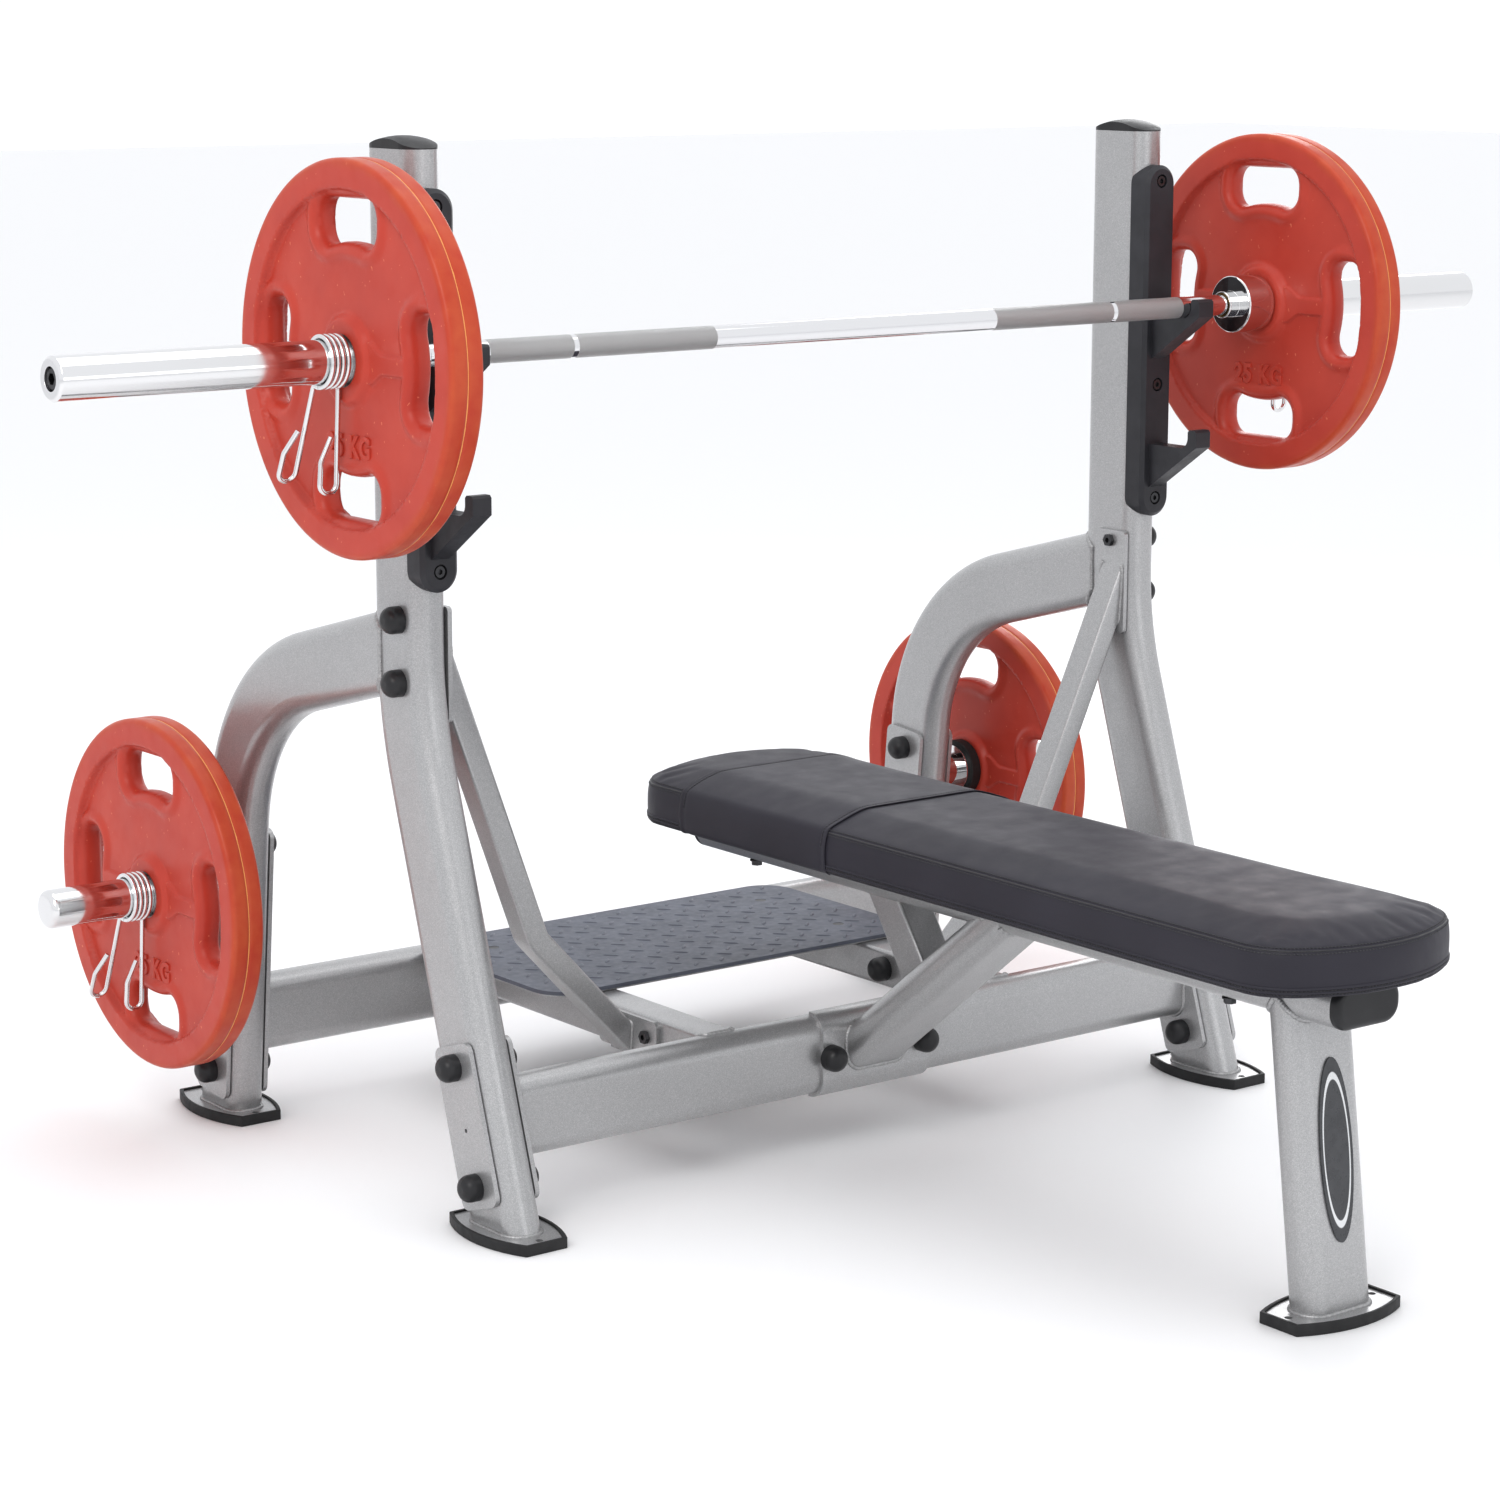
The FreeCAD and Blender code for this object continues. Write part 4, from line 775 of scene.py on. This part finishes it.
def disc_half_thickness(y, z):
    """Half of the plate's thickness at a point of its face."""
    radius = math.hypot(y, z)
    away = grip_distance(y, z)
    base = WEB_HALF + (RIM_HALF - WEB_HALF) * smooth(*RIM_STEP, radius)
    base += (RIM_HALF - WEB_HALF) * (1 - smooth(*HUB_STEP, radius))
    flare = spoke_half_width(y)
    if 0.03 < abs(y) < 0.125 and radius < 0.135:
        spoke = 1 - smooth(flare - 0.002, flare + 0.002, abs(z))
        base = max(base, WEB_HALF + SPOKE_RISE * spoke)
    lip = WEB_HALF + (LIP_HALF - WEB_HALF) * (1 - smooth(GRIP_ROUND, LIP_FADE, away))
    outer = max(base, lip)
    if away >= GRIP_ROUND:
        return outer
    share = 1 - max(away, 0.0) / GRIP_ROUND
    return GRIP_WALL + (outer - GRIP_WALL) * math.sqrt(max(0.0, 1 - share * share))


def circle(radius, count):
    return arc_points((0, 0), radius, 0, 360, count)


def disc_face():
    """Flat triangulation of the plate's face: points, triangles and its boundary loops."""
    points = []
    loops = []
    taken = {}
    cell = 0.0016
    nearest = 0.0009

    def free(point):
        i, j = int(point[0] // cell), int(point[1] // cell)
        for a in (i - 1, i, i + 1):
            for b in (j - 1, j, j + 1):
                for other in taken.get((a, b), ()):
                    if math.hypot(point[0] - other[0], point[1] - other[1]) < nearest:
                        return False
        return True

    def take(point):
        taken.setdefault((int(point[0] // cell), int(point[1] // cell)), []).append(point)
        points.append(point)

    for outline in ([circle(DISC_FACE_RADIUS, 240), circle(RING_RADIUS, 96)]
                    + [quarter_turned(grip_loop(0.0), q) for q in range(4)]):
        loops.append(list(range(len(points), len(points) + len(outline))))
        for point in outline:
            take(point)
    extra = []
    for grow in (0.0011, 0.0026, 0.0046, 0.0072, 0.0100, 0.0120, 0.0140, 0.0170, 0.0200, 0.0230):
        for q in range(4):
            extra += quarter_turned(grip_loop(grow), q)
    for radius in (0.036, 0.044, 0.0465, 0.049, 0.0515, 0.0535, 0.056, 0.060):
        extra += circle(radius, 110)
    for radius in (0.1850, 0.1870, 0.1884, 0.1898, 0.1912, 0.1925, 0.197, 0.203, 0.211):
        extra += circle(radius, 240)
    for side in (-1, 1):
        for k in range(0, 36):
            y = side * (0.048 + k * 0.0023)
            flare = spoke_half_width(y)
            for shift in (-0.0030, -0.0018, -0.0006, 0.0006, 0.0018, 0.0030):
                extra += [(y, flare + shift), (y, -flare - shift)]
    step = 0.0058
    span_count = int(0.42 / step)
    for i in range(span_count):
        for j in range(span_count):
            extra.append((-0.21 + (i + 0.5 * (j % 2)) * step, -0.21 + j * step * 0.87))
            extra.append((-0.21 + (i + 0.5 * (j % 2)) * step, 0.21 - j * step * 0.87))
    for point in extra:
        radius = math.hypot(*point)
        inside = RING_RADIUS + 0.001 < radius < DISC_FACE_RADIUS - 0.001
        if inside and grip_distance(*point) > 0.0007 and free(point):
            take(point)
    edges = [(a, b) for loop in loops for a, b in zip(loop, loop[1:] + loop[:1])]
    spots, _, triangles, origin, _, _ = delaunay_2d_cdt(
        [Vector(p) for p in points], edges, [], 0, 1e-7)
    where = {}
    for index, sources in enumerate(origin):
        for source in sources:
            where[source] = index
    loops = [[where[i] for i in loop] for loop in loops]
    kept = []
    for triangle in triangles:
        middle = sum((spots[i] for i in triangle), Vector((0, 0))) / 3
        radius = middle.length
        if RING_RADIUS < radius < DISC_FACE_RADIUS and grip_distance(*middle) > 0:
            kept.append(tuple(triangle))
    return spots, kept, loops


def raised_numerals(points, faces):
    """Adds the weight, in raised figures, to both faces below the hub."""
    curve = bpy.data.curves.new("figures", "FONT")
    curve.body = "25 KG"
    curve.size = 0.031
    curve.space_character = 1.12
    curve.align_x = "CENTER"
    curve.align_y = "CENTER"
    curve.extrude = 0.0020
    curve.offset = 0.0006
    curve.bevel_depth = 0.0007
    curve.bevel_resolution = 2
    holder = bpy.data.objects.new("figures", curve)
    SCENE.collection.objects.link(holder)
    shape = holder.to_mesh()
    for side in (-1, 1):
        first = len(points)
        for vertex in shape.vertices:
            across, up, out = vertex.co
            points.append(Vector((side * (WEB_HALF + out - 0.0004), side * across,
                                  up * 1.12 - FIGURE_DROP)))
        faces += [tuple(first + i for i in polygon.vertices) for polygon in shape.polygons]
    holder.to_mesh_clear()
    bpy.data.objects.remove(holder)


def disc_mesh():
    """Rubber coat of one plate, centred on the origin, with its axis along X."""
    spots, triangles, loops = disc_face()
    points = []
    faces = []
    for side in (-1, 1):
        first = len(points)
        for spot in spots:
            points.append(Vector((side * disc_half_thickness(*spot), spot[0], spot[1])))
        for a, b, c in triangles:
            order = (a, b, c) if side > 0 else (a, c, b)
            faces.append(tuple(first + i for i in order))
    other = len(spots)
    for loop in loops[1:]:
        for a, b in zip(loop, loop[1:] + loop[:1]):
            faces.append((a, b, other + b, other + a))
    profile = []
    for k in range(1, 7):
        turn = math.radians(15 * k)
        profile.append((0.0155 + 0.0065 * math.cos(turn),
                        DISC_FACE_RADIUS + (DISC_RADIUS - DISC_FACE_RADIUS) * math.sin(turn)))
    tread = [(0.0105, DISC_RADIUS), (0.0055, DISC_RADIUS), (0.0012, DISC_RADIUS - 0.0001),
             (0.0006, DISC_RADIUS - 0.0006)]
    half = profile + tread
    full = half + [(-x, radius) for x, radius in reversed(half)]
    outline = [spots[i].normalized() for i in loops[0]]
    count = len(outline)
    first = len(points)
    for x, radius in full:
        points += [Vector((x, spot[0] * radius, spot[1] * radius)) for spot in outline]
    faces += grid_faces(len(full), count, wrap_columns=True, first=first)
    for k in range(count):
        following = (k + 1) % count
        a, b = other + loops[0][k], other + loops[0][following]
        faces.append((a, b, first + following, first + k))
        last = first + (len(full) - 1) * count
        a, b = loops[0][k], loops[0][following]
        faces.append((last + k, last + following, b, a))
    raised_numerals(points, faces)
    data = bpy.data.meshes.new("plate_coat")
    data.from_pydata([tuple(p) for p in points], [], faces)
    data.materials.append(RED)
    mesh = bmesh.new()
    mesh.from_mesh(data)
    bmesh.ops.recalc_face_normals(mesh, faces=mesh.faces)
    for face in mesh.faces:
        face.smooth = True
    for edge in mesh.edges:
        edge.smooth = edge.calc_face_angle(0) < math.radians(50)
    mesh.to_mesh(data)
    mesh.free()
    return data


def add_plates():
    data = disc_mesh()
    for place in ("bar", "stored"):
        for side, _ in SIDES:
            node = "%s_plate_coat_%s" % (place, side)
            coat = bpy.data.objects.new("rubber_" + node, data)
            SCENE.collection.objects.link(coat)
            coat.location = centre("%s_plate_ring_%s" % (place, side))
            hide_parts(node)
            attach(coat, "%s_plate_%s" % (place, side))


# ---- tread pattern ------------------------------------------------------------------
def add_treads():
    """Raised lens-shaped bars of the platform's diamond pattern."""
    low, high = low_high("tread_mat")
    middle = (low + high) / 2
    pitch = 0.042
    screws = [Vector((x, y, 0)) for x in (-0.226, 0.226) for y in (0.376, 0.551)]
    points = []
    faces = []
    for lattice, turn in ((0.0, -45.0), (0.5, 45.0)):
        along = Vector((math.cos(math.radians(turn)), math.sin(math.radians(turn)), 0))
        across = Vector((-along.y, along.x, 0))
        for i in range(-9, 10):
            for j in range(-6, 7):
                spot = Vector((middle.x + (i + lattice) * pitch,
                               middle.y + (j + lattice) * pitch, high.z))
                reach = spot - Vector((middle.x, middle.y, high.z))
                edge_x = (high.x - low.x) / 2 - 0.014 - abs(reach.x)
                edge_y = (high.y - low.y) / 2 - 0.014 - abs(reach.y)
                if edge_x < 0 or edge_y < 0 or edge_x + edge_y < 0.022:
                    continue
                if any((Vector((spot.x, spot.y, 0)) - screw).length < 0.017 for screw in screws):
                    continue
                first = len(points)
                rows = 9
                for row in range(rows):
                    share = -1 + 2 * row / (rows - 1)
                    width = 0.0030 * (1 - share * share) ** 0.75 + 0.0002
                    rise = 0.0013 * (1 - share * share) ** 0.5
                    for k in range(7):
                        side = -1 + k / 3
                        height = rise * (1 - side * side) ** 0.5 if abs(side) < 1 else -0.0003
                        points.append(spot + along * (share * 0.0110) + across * (side * width)
                                      + UP * height)
                faces += grid_faces(rows, 7, first=first)
    new_piece("tread_bars", points, faces, TREAD, "frame")


# ---- bench pad ----------------------------------------------------------------------
PAD_LOW, PAD_HIGH = low_high("pad_cushion")
PAD_HALF = PAD_HIGH.x + 0.001
PAD_FOOT = PAD_LOW.y - 0.016
PAD_HEAD = PAD_HIGH.y - 0.006
PAD_BASE = PAD_LOW.z
PAD_END_RADIUS = 0.220
PAD_CORNER = 0.070
SEAM_Z = PAD_BASE + 0.053
PAD_LEVELS = ((0.012, 0.0), (0.003, 0.001), (0.0015, 0.006), (0.0010, 0.020),
              (0.0010, 0.036), (0.0020, 0.046), (0.0040, 0.053), (0.0085, 0.0600),
              (0.016, 0.0645), (0.028, 0.0672), (0.045, 0.0687), (0.075, 0.0695))


def pad_loop(inset, z, step=0.008):
    """The pad's outline moved inward by inset."""
    half = PAD_HALF - inset
    corner = PAD_CORNER - inset
    arm = PAD_HALF - PAD_CORNER
    drop = math.sqrt((PAD_END_RADIUS - PAD_CORNER) ** 2 - arm ** 2)
    swing = math.degrees(math.atan2(drop, arm))
    points = []
    for place, sign, foot in ((PAD_HEAD - PAD_END_RADIUS, 1, False),
                              (PAD_FOOT + PAD_END_RADIUS, -1, True)):
        high = place + sign * drop
        right = sign
        points += arc_points((right * arm, high), corner, 180 * foot, 180 * foot + swing, 14)
        points += arc_points((0, place), PAD_END_RADIUS - inset, 180 * foot + swing,
                             180 * foot + 180 - swing, 30)
        points += arc_points((-right * arm, high), corner, 180 * foot + 180 - swing,
                             180 * foot + 180, 14)
        points.append((-right * half, high))
    return resample([Vector((x, y, z)) for x, y in points], step, True)


def pad_shell():
    """Closed body of the pad before it is filled."""
    count = len(pad_loop(0.0, 0.0))
    points = []
    for inset, rise in PAD_LEVELS:
        loop = pad_loop(inset, PAD_BASE + rise, 0.008)
        loop = resample(loop, sum((b - a).length for a, b in zip(loop, loop[1:] + loop[:1]))
                        / count, True)
        points += loop[:count]
    faces = grid_faces(len(PAD_LEVELS), count, wrap_columns=True)
    faces.append(tuple(reversed(range(count))))
    faces.append(tuple(range((len(PAD_LEVELS) - 1) * count, len(PAD_LEVELS) * count)))
    piece = new_piece("pad_upholstery", points, faces, VINYL, "frame")
    remesh = piece.modifiers.new("even", "REMESH")
    remesh.mode = "VOXEL"
    remesh.voxel_size = 0.0065
    apply_modifiers(piece)
    for polygon in piece.data.polygons:
        polygon.use_smooth = True
    return piece


def apply_modifiers(piece):
    graph = bpy.context.evaluated_depsgraph_get()
    graph.update()
    data = bpy.data.meshes.new_from_object(piece.evaluated_get(graph))
    piece.modifiers.clear()
    old = piece.data
    piece.data = data
    bpy.data.meshes.remove(old)


def fill_with_foam(piece, held, pressure, limit):
    """Press the cover outward as its foam does; held says which points stay put."""
    group = piece.vertex_groups.new(name="held")
    for vertex in piece.data.vertices:
        group.add([vertex.index], held(vertex.co), "REPLACE")
    cloth = piece.modifiers.new("foam", "CLOTH")
    cloth.settings.quality = 6
    cloth.settings.mass = 0.25
    cloth.settings.tension_stiffness = 18
    cloth.settings.compression_stiffness = 18
    cloth.settings.shear_stiffness = 8
    cloth.settings.bending_stiffness = 0.6
    cloth.settings.use_pressure = True
    cloth.settings.uniform_pressure_force = pressure
    cloth.settings.vertex_group_mass = "held"
    cloth.settings.effector_weights.gravity = 0
    cloth.point_cache.frame_start = 1
    cloth.point_cache.frame_end = 20
    frames = 20
    for number in range(1, frames + 1):
        SCENE.frame_set(number)
    graph = bpy.context.evaluated_depsgraph_get()
    filled = piece.evaluated_get(graph).to_mesh()
    moved = [vertex.co.copy() for vertex in filled.vertices]
    piece.evaluated_get(graph).to_mesh_clear()
    for vertex, place in zip(piece.data.vertices, moved):
        shift = place - vertex.co
        if shift.length > limit:
            shift *= limit / shift.length
        vertex.co += shift
    piece.modifiers.remove(cloth)
    piece.vertex_groups.clear()
    SCENE.frame_set(1)


def pad_held(point):
    if point.z < PAD_BASE + 0.014:
        return 1.0
    return 0.96 if abs(point.z - SEAM_Z) < 0.0035 and on_side(point) else 0.0


def on_side(point):
    """True on the pad's upright sides, away from its top."""
    return point.z < PAD_BASE + 0.062


def surface_line(tree, z, step, lift):
    """Points on the pad's skin at one height all round it, with outward normals."""
    line = []
    for point in pad_loop(-0.03, z, step):
        inner = Vector((point.x * 0.5, min(max(point.y, PAD_FOOT + 0.2), PAD_HEAD - 0.2), z))
        away = (inner - point).normalized()
        hit, normal, _, _ = tree.ray_cast(point, away)
        if hit:
            line.append((hit + normal * lift, normal))
    return line


def add_stitches(name, line, length=0.0032, pitch=0.0042, radius=0.00055):
    """Short threads laid end to end along a line of (point, normal)."""
    path = resample([point for point, _ in line], pitch, True)
    tree = KDTree(len(line))
    for index, (point, _) in enumerate(line):
        tree.insert(point, index)
    tree.balance()
    points = []
    faces = []
    for here, there in zip(path, path[1:] + path[:1]):
        along = (there - here).normalized()
        normal = line[tree.find(here)[1]][1]
        across = along.cross(normal).normalized()
        first = len(points)
        for share, size in ((0.0, 0.35), (0.15, 0.9), (0.5, 1.0), (0.85, 0.9), (1.0, 0.35)):
            middle = here + along * (length * share)
            middle += normal * (radius * (1.6 * (1 - (2 * share - 1) ** 2) - 0.5))
            for k in range(6):
                turn = math.pi * k / 3
                points.append(middle + (across * math.cos(turn) + normal * math.sin(turn))
                              * radius * size)
        faces += grid_faces(5, 6, wrap_columns=True, first=first)
    new_piece(name, points, faces, THREAD_AND_SEAM_SHADE, "frame")


WRAP_SPAN = (-0.066, 0.231)
WRAP_WAIST = PAD_BASE + 0.034
WRAP_DROP = 0.0325
WRAP_TUCK = 0.30
HEM_STITCH = 0.0085


def add_head_cover(tree):
    """Stretched vinyl cover over the head half of the pad, hemmed at both edges."""
    rows = 96
    columns = 92
    points = []
    for i in range(rows):
        share = i / (rows - 1)
        y = WRAP_SPAN[0] + (WRAP_SPAN[1] - WRAP_SPAN[0]) * share
        hem = min(share, 1 - share) * (WRAP_SPAN[1] - WRAP_SPAN[0])
        lift = 0.0016 + 0.0007 * math.exp(-(hem / 0.0025) ** 2)
        lift -= 0.0006 * math.exp(-((hem - HEM_STITCH) / 0.0018) ** 2)
        for j in range(columns):
            turn = math.pi * (-WRAP_TUCK + (1 + 2 * WRAP_TUCK) * j / (columns - 1))
            low = Vector((0, y, WRAP_WAIST))
            away = Vector((math.cos(turn) * 0.5, 0, math.sin(turn) * 0.11))
            if turn < 0 or turn > math.pi:
                side = 1 if turn < 0 else -1
                depth = -turn if turn < 0 else turn - math.pi
                height = WRAP_WAIST - WRAP_DROP * depth / (WRAP_TUCK * math.pi)
                low = Vector((0, y, height))
                away = Vector((side * 0.5, 0, 0))
            start = low + away
            hit, normal, _, _ = tree.ray_cast(start, -away)
            place = hit + normal * lift
            points.append(place)
    faces = [tuple(reversed(face)) for face in grid_faces(rows, columns)]
    cover = new_piece("pad_head_cover", points, faces, VINYL, "frame")
    thick = cover.modifiers.new("thick", "SOLIDIFY")
    thick.thickness = 0.0012
    thick.offset = -1
    apply_modifiers(cover)
    for polygon in cover.data.polygons:
        polygon.use_smooth = True
    for name, y in (("front", WRAP_SPAN[0] + HEM_STITCH), ("back", WRAP_SPAN[1] - HEM_STITCH)):
        line = []
        skin = BVHTree.FromPolygons([v.co.copy() for v in cover.data.vertices],
                                    [tuple(p.vertices) for p in cover.data.polygons])
        for j in range(260):
            turn = math.pi * j / 259
            away = Vector((math.cos(turn) * 0.5, 0, math.sin(turn) * 0.11))
            start = Vector((0, y, WRAP_WAIST)) + away
            hit, normal, _, _ = skin.ray_cast(start, -away)
            if hit:
                line.append((hit, normal))
        add_stitches("pad_cover_stitch_" + name, line)


def add_pad():
    pad = pad_shell()
    fill_with_foam(pad, pad_held, 4.0, 0.0055)
    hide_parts("pad_cushion")
    finer = pad.modifiers.new("finer", "SUBSURF")
    finer.levels = 1
    finer.render_levels = 1
    tree = BVHTree.FromPolygons([v.co.copy() for v in pad.data.vertices],
                                [tuple(p.vertices) for p in pad.data.polygons])
    seam = surface_line(tree, SEAM_Z, 0.004, 0.0)
    # A near-black cord half sunk along the seam line: painted shade standing in for the shaded
    # crease of the seam.
    points, faces = swept_tube([p for p, _ in seam], 0.00075, True, 6)
    new_piece("pad_seam_painted_shade", points, faces, THREAD_AND_SEAM_SHADE, "frame")
    for name, rise in (("low", -0.0030), ("high", 0.0030)):
        add_stitches("pad_stitch_" + name, surface_line(tree, SEAM_Z + rise, 0.004, 0.0))
    for index, rise in enumerate((0.0030, 0.0075, 0.0120)):
        rib = surface_line(tree, PAD_BASE + rise, 0.006, -0.0007)
        points, faces = swept_tube([p for p, _ in rib], 0.0021, True, 10)
        new_piece("pad_rib_%d" % index, points, faces, VINYL, "frame")
    for index, rise in enumerate((0.0053, 0.0098)):
        add_stitches("pad_rib_stitch_%d" % index,
                     surface_line(tree, PAD_BASE + rise, 0.006, 0.0004))
    add_head_cover(tree)


# ---- badge --------------------------------------------------------------------------
def add_badge_look():
    """Blank oval: dark field, light ring, dark border."""
    low, high = low_high("leg_badge")
    middle = (low + high) / 2
    shade = Shader("badge_plate", (0.06, 0.062, 0.067), 0.28, 0.2, 0.4)
    across = shade.math("DIVIDE", shade.math("SUBTRACT", shade.axis("X"), middle.x),
                        (high.x - low.x) / 2)
    along = shade.math("DIVIDE", shade.math("SUBTRACT", shade.axis("Z"), middle.z),
                       (high.z - low.z) / 2)
    reach = shade.math("SQRT", shade.math("ADD", shade.math("MULTIPLY", across, across),
                                          shade.math("MULTIPLY", along, along)))
    ring = shade.ramp(reach, (0.0, 0.0), (0.755, 0.0), (0.765, 1.0), (0.835, 1.0), (0.845, 0.0))
    dark = shade.ramp(shade.noise(60.0), (0.3, (0.050, 0.052, 0.057)),
                      (0.7, (0.070, 0.072, 0.078)))
    shade.color(shade.mix(ring, dark, (0.72, 0.73, 0.74)))
    shade.rough(shade.noise(120.0), 0.24, 0.34)
    shade.bump(ring, 0.5, 0.0004)
    dress("leg_badge", shade.material, 0.0004)


add_camera()
add_studio()
dress_frame()
dress_barbell()
add_welds()
add_plates()
add_treads()
add_pad()
add_badge_look()
